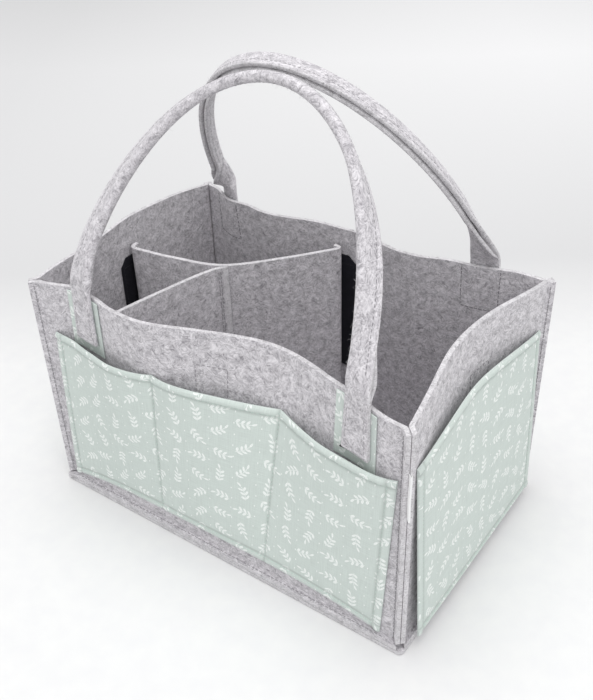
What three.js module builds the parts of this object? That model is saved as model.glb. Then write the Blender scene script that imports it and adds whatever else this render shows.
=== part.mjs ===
// Felt nursery caddy: a sewn felt basket with cotton pockets on every side, two folded felt handles
// and a Y-shaped felt divider that lifts out. Millimetres, +Z up, origin at the middle of the
// underside. X runs along the front to the right and Y runs from the front to the back.

import * as THREE from 'three';

// Overall size, over the seam edges
const LENGTH = 340;
const DEPTH = 220;
const HEIGHT = 200; // of the walls at the corners

// Thickness of the materials
const FELT = 3.5;
const COTTON = 1.2;
const TAPE = 1.5;
const RIBBON = 0.5;
const LAY = 0.3; // air between two layers that are sewn together

// Seams: every edge is turned outwards and sewn flat against its neighbour
const SEAM = 5; // seam allowance
const BEND = 3.5; // radius of a felt bend at half thickness
const BASE_CORNER = 4; // radius at the corners of the base

// Walls: straight long sides, arched ends, and slack felt that waves along the top edge
const SIDE_ARCH = 2;
const END_ARCH = 11;
const SLACK_POWER = 1.3; // how the waves die out towards the base
const FADE_POWER = 8; // how the waves die out towards the corners
const PULL_REACH = 33; // along the wall, where a strap end draws the top edge inwards
const FRONT_PULLS = [5, 3]; // at the left and the right strap end, seen from outside
const BACK_PULLS = [8, 13];
const FRONT_CORNER_DIP = 7; // between the left corner and the left strap end
const FRONT_BULGE = 3; // outwards, beside the left strap end
const FRONT_DIP = 25;
const RIGHT_DIP = 11;
const BACK_DIP = 12;
const BACK_LEFT_DIP = 16;
const BACK_RIGHT_DIP = 16;
const LEFT_DIP = 5;

// Pockets
const POCKET_INSET = 11; // from the wall's corner to the pocket's side edge
const POCKET_DROP_SIDE = 42; // from the wall's corner height down to the pocket's corner
const POCKET_DROP_END = 38;
const POCKET_ARCH_END = 13; // of the mouth
const POCKET_LIFT = 1.5; // from the wall's foot up to the pocket's lower corner
const POCKET_LIFT_ARCH = 10; // how much higher a long pocket is sewn in the middle
const POCKET_OUT_END = 8; // how far an end pocket's lower edge stands out over the foot
const FRONT_LEAN = 9; // how far the front pocket leans to the right from its foot to its mouth
const POCKET_GAPE_SIDE = 8.5; // how far an empty pocket stands open at its mouth
const POCKET_GAPE_END = 7;
const GAPE_POWER = 0.8; // how the pocket opens from its foot to its mouth
const CELL_POWER = 2.4; // how square the open mouth is between two stitch lines
const LIFT_POWER = 4; // how square the raised lower edge is
const HEM = 7;
const SIDE_CELLS = 3;

// Strap ends, their patches and the handles
const FRONT_LEG_INSETS = [52, 40]; // from the wall's corners to the middle of each handle leg
const BACK_LEG_INSETS = [51, 34];
const STRAP_FOOT_WIDTH = 24;
const STRAP_RIM_WIDTH = 22;
const STRAP_RISE = 2; // from the wall's top edge to the end of the sewn strap
const STRAP_CLEAR = 1; // from the pocket's mouth to the strap and its patch
const PATCH_WIDTH = 32;
const PATCH_DROP = 2;
const GRIP_WIDTH = 16;
const FOLD_GAP = 0.8; // between the two layers of the folded strip
const FOLD_SLIT = 6; // depth of the open edge between the layers
const FLARE_END = 0.07; // share of the run where the strip has drawn in to the grip's width
const HANDLE_RISE = 153; // from the end of the sewn strap to the top of the grip
const FRONT_GRIP = 9; // from the middle of the caddy to the fallen grip
const FRONT_KNEE = 0.2; // share of the rise where the strip bends over from upright
const FRONT_SKEW = -3; // how far the grip falls to the right, seen from outside
const FRONT_TWIST = [108, 108]; // degrees of twist towards the left and the right leg
const FRONT_TURN = [0.7, 0.29]; // shares of the run, from either leg, where the twist grows
const BACK_GRIP = 17;
const BACK_KNEE = 0.1;
const BACK_SKEW = 6;
const BACK_TWIST = [45, 110];
const BACK_TURN = [0.1, 0.07];

// Divider: a long panel from the left end to the back, and an arm to the front
const DIVIDER_DROP = 12;
const DIVIDER_CENTRE_X = -71;
const DIVIDER_CENTRE_Y = 8.5;
const DIVIDER_LEFT_Y = -9;
const DIVIDER_BACK_X = -5;
const DIVIDER_FRONT_X = -94;
const DIVIDER_FLAP = 9; // flap at each end of the long panel, pressed on to a hook tape
const DIVIDER_SAG = 3; // how far the slack arms curve towards the front
const DIVIDER_LAP = 5; // overlap where the arm is sewn to the long panel
const DIVIDER_CLEAR = 1; // from the arm's end to the front wall

// Hook tapes inside the walls
const TAPE_WIDTH = 28;
const TAPE_FOOT = 60;
const TAPE_DROP = 22;
const TAPE_CLIP = 7; // clipped upper corners
const RIGHT_TAPE_AT = 8; // from the middle of the wall
const BACK_TAPE_AT = 10;
const LEFT_TAPE_AT = 6;

// Tag in the front right corner seam
const TAG_FOOT = 132;
const TAG_HEIGHT = 38;
const TAG_OUT = 3.8;
const TAG_GAP = 0.5;

// How finely the curved sheets are divided
const WALL_STEP = 5.5;
const WALL_ROWS = 5;
const POCKET_STEPS = 8;
const END_POCKET_STEPS = 14;
const POCKET_ROWS = [0, 0.12, 0.32, 0.55, 0.78]; // shares of the height below the hem
const APPLIQUE_STEPS = 8;
const HANDLE_STEPS = 52;
const FOLD_STEPS = 4;
const DIVIDER_STEP = 9;
const CORNER_STEPS = 4;
const WAVE_SAMPLES = 12;

const FELT_LOOK = { color: 0xb9b7ba, roughness: 0.95, metalness: 0 };
const COTTON_LOOK = { color: 0xc6dad0, roughness: 0.85, metalness: 0 };
const TAPE_LOOK = { color: 0x141418, roughness: 0.9, metalness: 0 };
const TAG_LOOK = { color: 0xf4f4f2, roughness: 0.7, metalness: 0 };

// Layers of the walls and of the base seam
const HALF_FELT = FELT / 2;
const FOOT_MIDDLE = FELT + LAY + HALF_FELT; // height of a wall's foot at half thickness
const WALL_START = FOOT_MIDDLE + BEND; // height where a wall stands upright
const POCKET_FOOT = FOOT_MIDDLE + HALF_FELT + POCKET_LIFT; // height of a pocket's lower corners
const FLANGE_OFFSET = (LAY + FELT) / 2; // of a corner flange from the corner's diagonal
const STRAP_BACK = LAY + COTTON + LAY; // from the wall's face to the back of a strap end
const STRAP_FACE = STRAP_BACK + FELT;
const GRIP_THICK = 2 * FELT + FOLD_GAP;

const smooth = THREE.MathUtils.smoothstep;
const mix = THREE.MathUtils.lerp;

// Each side has its own frame: s runs along the wall to the right as seen from outside, n points
// outwards from the wall's face and z points up. A wave is {at, reach, depth} along s, and a positive
// depth leans inwards.
const SIDE_HALF = LENGTH / 2 - SEAM;
const END_HALF = DEPTH / 2 - SEAM;
const legs = ([left, right]) => [left - SIDE_HALF, SIDE_HALF - right];
const pull = (insets, depths) => legs(insets).map((at, k) => {
  return { at, reach: PULL_REACH, depth: depths[k] };
});
const LONG_POCKET = {
  cells: SIDE_CELLS,
  drop: POCKET_DROP_SIDE,
  mouthArch: 0,
  liftArch: POCKET_LIFT_ARCH,
  footOut: 0,
  lean: 0,
  gape: POCKET_GAPE_SIDE,
};
const END_POCKET = {
  cells: 1,
  drop: POCKET_DROP_END,
  mouthArch: POCKET_ARCH_END,
  liftArch: 0,
  footOut: POCKET_OUT_END,
  lean: 0,
  gape: POCKET_GAPE_END,
};
const SIDES = {
  front: {
    turn: 0,
    half: SIDE_HALF,
    reach: END_HALF,
    arch: SIDE_ARCH,
    ...LONG_POCKET,
    lean: FRONT_LEAN,
    tapeAt: 0,
    legs: legs(FRONT_LEG_INSETS),
    grip: FRONT_GRIP,
    bend: FRONT_KNEE,
    skew: FRONT_SKEW,
    twist: FRONT_TWIST,
    turns: FRONT_TURN,
    waves: [
      ...pull(FRONT_LEG_INSETS, FRONT_PULLS),
      { at: -0.82 * SIDE_HALF, reach: 0.17 * SIDE_HALF, depth: FRONT_CORNER_DIP },
      { at: -0.37 * SIDE_HALF, reach: 0.3 * SIDE_HALF, depth: -FRONT_BULGE },
      { at: 0.3 * SIDE_HALF, reach: 0.68 * SIDE_HALF, depth: FRONT_DIP },
    ],
  },
  right_end: {
    turn: Math.PI / 2,
    half: END_HALF,
    reach: SIDE_HALF,
    arch: END_ARCH,
    ...END_POCKET,
    tapeAt: RIGHT_TAPE_AT,
    waves: [{ at: -0.09 * END_HALF, reach: 1.05 * END_HALF, depth: RIGHT_DIP }],
  },
  back: {
    turn: Math.PI,
    half: SIDE_HALF,
    reach: END_HALF,
    arch: SIDE_ARCH,
    ...LONG_POCKET,
    tapeAt: BACK_TAPE_AT,
    legs: legs(BACK_LEG_INSETS),
    grip: BACK_GRIP,
    bend: BACK_KNEE,
    skew: BACK_SKEW,
    twist: BACK_TWIST,
    turns: BACK_TURN,
    waves: [
      ...pull(BACK_LEG_INSETS, BACK_PULLS),
      { at: -0.37 * SIDE_HALF, reach: 0.39 * SIDE_HALF, depth: BACK_LEFT_DIP },
      { at: 0.1 * SIDE_HALF, reach: 0.8 * SIDE_HALF, depth: BACK_DIP },
      { at: 0.53 * SIDE_HALF, reach: 0.38 * SIDE_HALF, depth: BACK_RIGHT_DIP },
    ],
  },
  left_end: {
    turn: -Math.PI / 2,
    half: END_HALF,
    reach: SIDE_HALF,
    arch: END_ARCH,
    ...END_POCKET,
    tapeAt: LEFT_TAPE_AT,
    waves: [{ at: 0.45 * END_HALF, reach: 0.53 * END_HALF, depth: LEFT_DIP }],
  },
};

// Inward lean of a wall's top edge at s
function swell(side, s) {
  const fade = Math.max(0, 1 - Math.pow(Math.abs(s) / side.half, FADE_POWER));
  let depth = 0;
  for (const wave of side.waves) {
    const away = Math.min(1, Math.abs(s - wave.at) / wave.reach);
    depth += wave.depth * Math.cos((away * Math.PI) / 2) ** 2;
  }
  return depth * fade;
}

// Inward lean of a wall at s and height z
function inward(side, s, z) {
  const up = Math.max(0, (z - WALL_START) / (HEIGHT - WALL_START));
  return swell(side, s) * Math.pow(up, SLACK_POWER);
}

// Height of a wall's top edge
function rim(side, s) {
  return HEIGHT + side.arch * Math.max(0, 1 - (s / side.half) ** 2);
}

function pocketHalf(side) {
  return side.half - POCKET_INSET;
}

// Height of a pocket's mouth
function mouth(side, s) {
  const across = Math.max(0, 1 - (s / pocketHalf(side)) ** 2);
  return HEIGHT - side.drop + side.mouthArch * across;
}

// Height of a pocket's lower edge
function pocketFoot(side, s) {
  const across = Math.max(0, 1 - Math.pow(Math.abs(s) / pocketHalf(side), LIFT_POWER));
  return POCKET_FOOT + side.liftArch * across;
}

// From a side's frame to its group's, where the wall stands across -Y
function place(side, s, n, z) {
  return [s, -side.reach - n, z];
}

// A geometry from vertices and triangles, turned so that its faces point outwards
function solid(positions, index) {
  const geometry = new THREE.BufferGeometry();
  geometry.setAttribute('position', new THREE.Float32BufferAttribute(positions, 3));
  const corner = (k) => new THREE.Vector3().fromArray(positions, 3 * k);
  let volume = 0;
  for (let k = 0; k < index.length; k += 3) {
    const [a, b, c] = [corner(index[k]), corner(index[k + 1]), corner(index[k + 2])];
    volume += a.dot(b.cross(c));
  }
  geometry.setIndex(volume < 0 ? index.reverse() : index);
  const faces = geometry.toNonIndexed();
  faces.computeVertexNormals();
  return faces;
}

// A closed sheet between two grids of points, left open where keep(i, j) is false
function sheet(columns, rows, back, face, keep = () => true) {
  const across = columns + 1;
  const layer = across * (rows + 1);
  const positions = [];
  for (const point of [back, face]) {
    for (let j = 0; j <= rows; j += 1) {
      for (let i = 0; i <= columns; i += 1) {
        positions.push(...point(i, j));
      }
    }
  }
  const index = [];
  const quad = (a, b, c, d) => index.push(a, b, c, a, c, d);
  const open = (i, j) => i < 0 || j < 0 || i >= columns || j >= rows || !keep(i, j);
  for (let j = 0; j < rows; j += 1) {
    for (let i = 0; i < columns; i += 1) {
      if (open(i, j)) continue;
      const corners = [j * across + i, j * across + i + 1, (j + 1) * across + i + 1, (j + 1) * across + i];
      const [a, b, c, d] = corners;
      quad(a + layer, b + layer, c + layer, d + layer);
      quad(a, d, c, b);
      if (open(i, j - 1)) quad(a, b, b + layer, a + layer);
      if (open(i + 1, j)) quad(b, c, c + layer, b + layer);
      if (open(i, j + 1)) quad(c, d, d + layer, c + layer);
      if (open(i - 1, j)) quad(d, a, a + layer, d + layer);
    }
  }
  return solid(positions, index);
}

// A closed body through a row of like sections, each a ring of points
function loft(rings, outline) {
  const count = outline.length;
  const positions = rings.flat(2);
  const index = [];
  for (let k = 0; k + 1 < rings.length; k += 1) {
    for (let i = 0; i < count; i += 1) {
      const a = k * count + i;
      const b = k * count + ((i + 1) % count);
      index.push(a, b, b + count, a, b + count, a + count);
    }
  }
  const last = (rings.length - 1) * count;
  for (const [a, b, c] of THREE.ShapeUtils.triangulateShape(outline, [])) {
    index.push(c, b, a, a + last, b + last, c + last);
  }
  return solid(positions, index);
}

function mesh(name, geometry, look) {
  const piece = new THREE.Mesh(geometry, new THREE.MeshStandardMaterial(look));
  piece.name = name;
  return piece;
}

function basePanel() {
  const [x, y, r] = [LENGTH / 2, DEPTH / 2, BASE_CORNER];
  const outline = new THREE.Shape();
  outline.absarc(x - r, y - r, r, 0, Math.PI / 2);
  outline.absarc(r - x, y - r, r, Math.PI / 2, Math.PI);
  outline.absarc(r - x, r - y, r, Math.PI, 1.5 * Math.PI);
  outline.absarc(x - r, r - y, r, 1.5 * Math.PI, 2 * Math.PI);
  const felt = { depth: FELT, bevelEnabled: false, curveSegments: CORNER_STEPS };
  return new THREE.ExtrudeGeometry(outline, felt);
}

// Where a wall's corner bend starts, along s
function bendStart(side) {
  return side.half - HALF_FELT + BEND * (1 - Math.SQRT2) - Math.SQRT2 * FLANGE_OFFSET;
}

// Stations along a wall at half thickness: the corner flanges, their bends and the wall between.
// heading is the way the felt runs there.
function wallStations(side) {
  const start = bendStart(side);
  const corner = [0.5, 1].map((share) => {
    const heading = (share * Math.PI) / 4;
    const s = start + BEND * Math.sin(heading);
    return { s, n: BEND * (1 - Math.cos(heading)) - HALF_FELT, heading };
  });
  const end = corner[corner.length - 1];
  const tip = SEAM / Math.SQRT2;
  corner.push({ s: end.s + tip - end.n, n: tip, heading: end.heading });
  const mirrored = corner.map(({ s, n, heading }) => ({ s: -s, n, heading: -heading })).reverse();
  const steps = Math.round((2 * start) / WALL_STEP);
  const middle = [];
  for (let i = 0; i <= steps; i += 1) {
    middle.push({ s: mix(-start, start, i / steps), n: -HALF_FELT, heading: 0 });
  }
  return { stations: [...mirrored, ...middle, ...corner], flange: corner.length };
}

// Rows of the foot that is turned out over the base, from its edge to the upright wall
function footRows() {
  const middle = BEND - HALF_FELT;
  const bends = [0, 0.5].map((share) => {
    const tilt = (share * Math.PI) / 2;
    const z = FOOT_MIDDLE + BEND * (1 - Math.cos(tilt));
    return { n: middle - BEND * Math.sin(tilt), z, tilt };
  });
  return [{ n: SEAM, z: FOOT_MIDDLE, tilt: 0 }, ...bends];
}

function wall(side) {
  const { stations, flange } = wallStations(side);
  const foot = footRows();
  const start = bendStart(side);
  const rows = foot.length + WALL_ROWS;
  const point = (shift) => (i, j) => {
    const { s, n, heading } = stations[i];
    if (j < foot.length) {
      const row = foot[j];
      const out = row.n + shift * Math.sin(row.tilt);
      const mitred = s * (1 + (row.n + HALF_FELT) / start);
      return place(side, mitred, out, row.z + shift * Math.cos(row.tilt));
    }
    const z = mix(WALL_START, rim(side, s), (j - foot.length) / WALL_ROWS);
    const out = n - inward(side, s, z) + shift * Math.cos(heading);
    return place(side, s - shift * Math.sin(heading), out, z);
  };
  const last = stations.length - 1;
  const keep = (i, j) => j >= foot.length || (i >= flange && i < last - flange);
  return sheet(last, rows, point(-HALF_FELT), point(HALF_FELT), keep);
}

// A cotton panel sewn along its foot, its sides and between its cells, open at the top
function pocket(side) {
  const half = pocketHalf(side);
  const columns = side.cells > 1 ? side.cells * POCKET_STEPS : END_POCKET_STEPS;
  const rows = POCKET_ROWS.length + 2;
  const height = (s, j) => {
    const top = mouth(side, s);
    if (j < POCKET_ROWS.length) return mix(pocketFoot(side, s), top - HEM - COTTON, POCKET_ROWS[j]);
    return [top - HEM - COTTON, top - HEM, top][j - POCKET_ROWS.length];
  };
  const point = (face) => (i, j) => {
    const upright = mix(-half, half, i / columns);
    const z = height(upright, j);
    const up = THREE.MathUtils.inverseLerp(pocketFoot(side, upright), mouth(side, upright), z);
    const s = upright + side.lean * (up - 0.5);
    const cell = (i / columns) * side.cells;
    const across = 1 - Math.pow(Math.abs(2 * (cell - Math.floor(cell)) - 1), CELL_POWER);
    const gape = side.gape * across * Math.pow(Math.max(0, up), GAPE_POWER) + side.footOut * (1 - up);
    const layers = j > POCKET_ROWS.length ? 2 : 1;
    const n = LAY + gape - inward(side, s, z) + (face ? layers * COTTON : 0);
    return place(side, s, n, z);
  };
  return sheet(columns, rows, point(false), point(true));
}

// A flat piece sewn to a wall, following its waves, with its width given at shares of its height
function applique(side, at, width, foot, top, back, thick, shares) {
  const point = (n) => (i, j) => {
    const share = shares[j];
    const s = at + width(share) * (i / APPLIQUE_STEPS - 0.5);
    const z = mix(foot(s), top(s), share);
    return place(side, s, n - inward(side, s, z), z);
  };
  return sheet(APPLIQUE_STEPS, shares.length - 1, point(back), point(back + thick));
}

function strapPatch(side, at) {
  const foot = (s) => mouth(side, s) + STRAP_CLEAR;
  const top = (s) => rim(side, s) - PATCH_DROP;
  return applique(side, at, () => PATCH_WIDTH, foot, top, LAY, COTTON, [0, 0.5, 1]);
}

function strapEnd(side, at) {
  const width = (share) => mix(STRAP_FOOT_WIDTH, STRAP_RIM_WIDTH, share);
  const foot = (s) => mouth(side, s) + STRAP_CLEAR;
  const top = () => legBottom(side) - LAY;
  return applique(side, at, width, foot, top, STRAP_BACK, FELT, [0, 0.5, 1]);
}

function hookTape(side) {
  const foot = () => TAPE_FOOT;
  const top = () => HEIGHT - TAPE_DROP;
  const clip = 1 - TAPE_CLIP / (HEIGHT - TAPE_DROP - TAPE_FOOT);
  const width = (share) => (share > clip ? TAPE_WIDTH - 2 * TAPE_CLIP : TAPE_WIDTH);
  const shares = [0, 0.35, 0.7, clip, 1];
  return applique(side, side.tapeAt, width, foot, top, -FELT - LAY - TAPE, TAPE, shares);
}

// Section of the folded strip: two layers joined by a round fold, with a slit at the open edge
function stripSection(width) {
  const half = width / 2;
  const round = GRIP_THICK / 2;
  const slit = FOLD_SLIT - half;
  const outline = [new THREE.Vector2(-half, -round)];
  for (let k = 0; k <= FOLD_STEPS; k += 1) {
    const angle = (k / FOLD_STEPS - 0.5) * Math.PI;
    outline.push(new THREE.Vector2(half - round + round * Math.cos(angle), round * Math.sin(angle)));
  }
  outline.push(new THREE.Vector2(-half, round));
  outline.push(new THREE.Vector2(-half, FOLD_GAP / 2));
  outline.push(new THREE.Vector2(slit, FOLD_GAP / 2));
  outline.push(new THREE.Vector2(slit, -FOLD_GAP / 2));
  outline.push(new THREE.Vector2(-half, -FOLD_GAP / 2));
  return outline;
}

// Distance of a handle leg's middle from the wall's plane, where it leaves the strap end
function legOut(side, at) {
  return STRAP_FACE - inward(side, at, legBottom(side)) - GRIP_THICK / 2;
}

// How the wall's top edge is turned where a leg leaves it, as a slope along s
function legYaw(side, at) {
  const half = STRAP_RIM_WIDTH / 2;
  const lean = (s) => inward(side, s, legBottom(side));
  return (lean(at + half) - lean(at - half)) / STRAP_RIM_WIDTH;
}

function legBottom(side) {
  return Math.max(...side.legs.map((at) => rim(side, at))) + STRAP_RISE + LAY;
}

// Middle line of a handle: half an ellipse between the two legs that falls towards the middle
function handleSpine(side, run) {
  const [left, right] = side.legs;
  const share = (1 - Math.cos(Math.PI * run)) / 2;
  const up = Math.sin(Math.PI * run);
  const s = mix(left, right, share) + side.skew * up;
  const out = mix(legOut(side, left), legOut(side, right), share);
  const knee = Math.hypot(up, side.bend);
  const full = Math.hypot(1, side.bend) - side.bend;
  const lean = side.reach + out - side.grip;
  const n = out - (lean * (knee - side.bend)) / full;
  const slope = (lean * up) / (HANDLE_RISE * full * knee);
  const point = new THREE.Vector3(...place(side, s, n, legBottom(side) + HANDLE_RISE * up));
  return { point, slope };
}

// A folded strip that leaves each strap end flat to the wall and twists evenly along its run
function handle(side) {
  const rings = [];
  for (let k = 0; k <= HANDLE_STEPS; k += 1) {
    const run = k / HANDLE_STEPS;
    const { point, slope } = handleSpine(side, run);
    const before = handleSpine(side, Math.max(0, run - 0.5 / HANDLE_STEPS)).point;
    const after = handleSpine(side, Math.min(1, run + 0.5 / HANDLE_STEPS)).point;
    const along = after.sub(before).normalize();
    if (k === 0) along.set(0, 0, 1);
    if (k === HANDLE_STEPS) along.set(0, 0, -1);
    const near = Math.min(run, 1 - run);
    const drawn = smooth(near, 0, FLARE_END);
    const yaw = legYaw(side, side.legs[run < 0.5 ? 0 : 1]) * (1 - drawn);
    const outside = new THREE.Vector3(yaw, -1, slope).normalize();
    outside.addScaledVector(along, -outside.dot(along)).normalize();
    const upward = new THREE.Vector3().crossVectors(outside, along);
    const turned = Math.min(1, run / side.turns[0], (1 - run) / side.turns[1]);
    const twist = THREE.MathUtils.degToRad(mix(...side.twist, run)) * turned;
    const facing = outside.multiplyScalar(Math.cos(twist)).addScaledVector(upward, Math.sin(twist));
    const fold = new THREE.Vector3().crossVectors(along, facing);
    const section = stripSection(mix(STRAP_RIM_WIDTH, GRIP_WIDTH, drawn));
    rings.push(section.map(({ x, y }) => {
      return point.clone().addScaledVector(fold, x).addScaledVector(facing, y).toArray();
    }));
  }
  return loft(rings, stripSection(GRIP_WIDTH));
}

// How far a wall leans in at its top edge anywhere between two places
function deepest(side, from, to) {
  let depth = 0;
  for (let k = 0; k <= WAVE_SAMPLES; k += 1) {
    const s = mix(from, to, k / WAVE_SAMPLES);
    depth = Math.max(depth, inward(side, s, rim(side, s)));
  }
  return depth;
}

// An upright felt sheet along a plan path
function uprightSheet(path) {
  const steps = Math.round(path.getLength() / DIVIDER_STEP);
  const middle = path.getSpacedPoints(steps);
  const foot = FELT + LAY;
  const normals = middle.map((_, i) => {
    const before = middle[Math.max(0, i - 1)];
    const after = middle[Math.min(steps, i + 1)];
    return after.clone().sub(before).normalize().rotateAround(new THREE.Vector2(), -Math.PI / 2);
  });
  const point = (shift) => (i, j) => {
    const { x, y } = middle[i].clone().addScaledVector(normals[i], shift);
    return [x, y, j === 0 ? foot : HEIGHT - DIVIDER_DROP];
  };
  return sheet(steps, 1, point(-HALF_FELT), point(HALF_FELT));
}

// Middle line of the long panel between its two folds, with both arms slack towards the front
function dividerArms() {
  const { left_end: left, back } = SIDES;
  const stack = FELT + LAY + TAPE + LAY + HALF_FELT;
  const flapLeft = deepest(left, -DIVIDER_LEFT_Y - DIVIDER_FLAP, -DIVIDER_LEFT_Y);
  const flapBack = deepest(back, -DIVIDER_BACK_X, -DIVIDER_BACK_X + DIVIDER_FLAP);
  const start = new THREE.Vector2(-left.reach + stack + flapLeft, DIVIDER_LEFT_Y);
  const centre = new THREE.Vector2(DIVIDER_CENTRE_X, DIVIDER_CENTRE_Y);
  const end = new THREE.Vector2(DIVIDER_BACK_X, back.reach - stack - flapBack);
  const slack = (from, to) => {
    const side = to.clone().sub(from).normalize().rotateAround(new THREE.Vector2(), -Math.PI / 2);
    return from.clone().lerp(to, 0.5).addScaledVector(side, DIVIDER_SAG);
  };
  return new THREE.SplineCurve([start, slack(start, centre), centre, slack(centre, end), end]);
}

function dividerLongPanel() {
  const arms = dividerArms();
  const [start, end] = [arms.points[0], arms.points[4]];
  const turn = 2 * BEND;
  const from = arms.getPointAt(turn / arms.getLength());
  const to = arms.getPointAt(1 - turn / arms.getLength());
  const path = new THREE.Path();
  path.moveTo(start.x, start.y + DIVIDER_FLAP);
  path.lineTo(start.x, start.y + turn);
  path.quadraticCurveTo(start.x, start.y, from.x, from.y);
  path.splineThru([arms.points[1], arms.points[2], arms.points[3], to]);
  path.quadraticCurveTo(end.x, end.y, end.x - turn, end.y);
  path.lineTo(end.x - DIVIDER_FLAP, end.y);
  return uprightSheet(path);
}

// The arm comes from the front wall, curves in beside the long panel and laps over its face
function dividerFrontArm() {
  const arms = dividerArms();
  const { front } = SIDES;
  const reach = DIVIDER_LAP / arms.getLength();
  const lap = [0.5, 0.5 + reach].map((share) => {
    const side = arms.getTangent(share).rotateAround(new THREE.Vector2(), -Math.PI / 2);
    return arms.getPoint(share).addScaledVector(side, FELT + LAY);
  });
  const lean = deepest(front, DIVIDER_FRONT_X - FELT, DIVIDER_FRONT_X + FELT);
  const foot = new THREE.Vector2(DIVIDER_FRONT_X, -front.reach + FELT + lean + DIVIDER_CLEAR);
  const bend = lap[0].clone().addScaledVector(arms.getTangent(0.5), -2 * DIVIDER_LAP);
  const path = new THREE.Path();
  path.moveTo(foot.x, foot.y);
  path.quadraticCurveTo(bend.x, bend.y, lap[0].x, lap[0].y);
  path.lineTo(lap[1].x, lap[1].y);
  return uprightSheet(path);
}

// A folded ribbon caught in the corner seam, drawn in plan with its loop pointing out
function seamTag() {
  const from = SEAM - FLANGE_OFFSET + LAY;
  const outer = TAG_GAP / 2 + RIBBON;
  const middle = from + TAG_OUT - outer;
  const outline = new THREE.Shape();
  outline.moveTo(from, -outer);
  outline.absarc(middle, 0, outer, -Math.PI / 2, Math.PI / 2);
  outline.lineTo(from, outer);
  outline.lineTo(from, TAG_GAP / 2);
  outline.absarc(middle, 0, TAG_GAP / 2, Math.PI / 2, -Math.PI / 2, true);
  outline.lineTo(from, -TAG_GAP / 2);
  const ribbon = { depth: TAG_HEIGHT, bevelEnabled: false, curveSegments: CORNER_STEPS };
  return new THREE.ExtrudeGeometry(outline, ribbon);
}

const caddy = new THREE.Group();
caddy.add(mesh('base_panel', basePanel(), FELT_LOOK));
caddy.add(mesh('divider_long_panel', dividerLongPanel(), FELT_LOOK));
caddy.add(mesh('divider_front_arm', dividerFrontArm(), FELT_LOOK));

for (const [name, side] of Object.entries(SIDES)) {
  const group = new THREE.Group();
  group.rotation.z = side.turn;
  group.add(mesh(`${name}_wall`, wall(side), FELT_LOOK));
  group.add(mesh(`${name}_pocket`, pocket(side), COTTON_LOOK));
  group.add(mesh(`${name}_hook_tape`, hookTape(side), TAPE_LOOK));
  caddy.add(group);
}

for (const name of ['front', 'back']) {
  const side = SIDES[name];
  const group = new THREE.Group();
  group.rotation.z = side.turn;
  for (const [k, hand] of ['left', 'right'].entries()) {
    const at = side.legs[k];
    group.add(mesh(`${name}_${hand}_strap_patch`, strapPatch(side, at), COTTON_LOOK));
    group.add(mesh(`${name}_${hand}_strap_end`, strapEnd(side, at), FELT_LOOK));
  }
  group.add(mesh(`${name}_handle`, handle(side), FELT_LOOK));
  caddy.add(group);
}

const tag = mesh('seam_tag', seamTag(), TAG_LOOK);
tag.position.set(SIDES.front.half, -SIDES.front.reach, TAG_FOOT);
tag.rotation.z = -Math.PI / 4;
caddy.add(tag);

export default caddy;
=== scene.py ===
# %% [markdown]
# A felt nursery caddy is a soft open basket for nappies and wipes. Thick grey felt makes the walls,
# the floor, the handles and a divider, and printed cotton makes the pockets round the outside. This
# lesson rebuilds the sewn cloth over the caddy's measured frame, piece by piece, as it is sewn.

# %% Load the shared frame
import math
import bmesh
import bpy
import numpy as np
from mathutils import Matrix


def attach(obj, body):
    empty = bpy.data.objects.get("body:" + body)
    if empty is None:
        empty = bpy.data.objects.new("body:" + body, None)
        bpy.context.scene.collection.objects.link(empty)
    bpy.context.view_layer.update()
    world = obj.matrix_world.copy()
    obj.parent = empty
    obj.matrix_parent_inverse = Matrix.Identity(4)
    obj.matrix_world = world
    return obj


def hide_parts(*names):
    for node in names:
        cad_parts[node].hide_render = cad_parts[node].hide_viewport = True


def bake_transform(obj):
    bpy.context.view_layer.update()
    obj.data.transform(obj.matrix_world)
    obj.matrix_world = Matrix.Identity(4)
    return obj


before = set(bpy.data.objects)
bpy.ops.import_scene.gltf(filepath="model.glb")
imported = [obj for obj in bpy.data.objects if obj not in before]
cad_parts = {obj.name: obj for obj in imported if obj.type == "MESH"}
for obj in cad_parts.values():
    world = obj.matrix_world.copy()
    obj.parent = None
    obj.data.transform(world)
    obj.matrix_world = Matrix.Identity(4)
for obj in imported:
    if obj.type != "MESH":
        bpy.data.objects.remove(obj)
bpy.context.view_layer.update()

# %% [markdown]
# Every size is in millimetres and is the same as in the measured frame, so that a cloth piece lies
# where its solid lies. Blender works in metres, so points are turned into metres only when a mesh
# is made. LAY is the small gap between layers that are sewn together, SEAM is the seam allowance and
# BEND is the radius at which the middle of the felt turns.

# %% Sizes of the cloth and the basket
MM = 0.001
LENGTH, DEPTH, HEIGHT = 340.0, 220.0, 200.0
FELT, COTTON, TAPE, RIBBON, LAY = 3.5, 1.2, 1.5, 0.5, 0.3
SEAM, BEND, HALF_FELT = 5.0, 3.5, FELT / 2
SIDE_HALF, END_HALF = LENGTH / 2 - SEAM, DEPTH / 2 - SEAM
FOOT_MIDDLE = FELT + LAY + HALF_FELT
WALL_START = FOOT_MIDDLE + BEND
FOOT_GAP, POCKET_INSET, HEM = 1.5, 11.0, 6.0
POCKET_FOOT = FOOT_MIDDLE + HALF_FELT + FOOT_GAP
STRAP_FACE = LAY + COTTON + LAY + FELT
print(f"basket {LENGTH:.0f} x {DEPTH:.0f} x {HEIGHT:.0f} mm, felt {FELT} mm, cotton {COTTON} mm")

# %% [markdown]
# Felt that stands up by itself never stays flat: the straps pull the top edge inwards and the slack
# between them waves. Each wall has its own frame, with s along the wall to the right as seen from
# outside, n outwards and z up. One function tells how far the wall leans in at a place, and every
# layer sewn on that wall uses it, so that the layers follow each other.

# %% Frame of a wall
UNEVEN, CORNER_HOLD, LEAN_POWER = 0.35, 8, 1.3


def mix(a, b, share):
    return a + (b - a) * share


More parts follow.
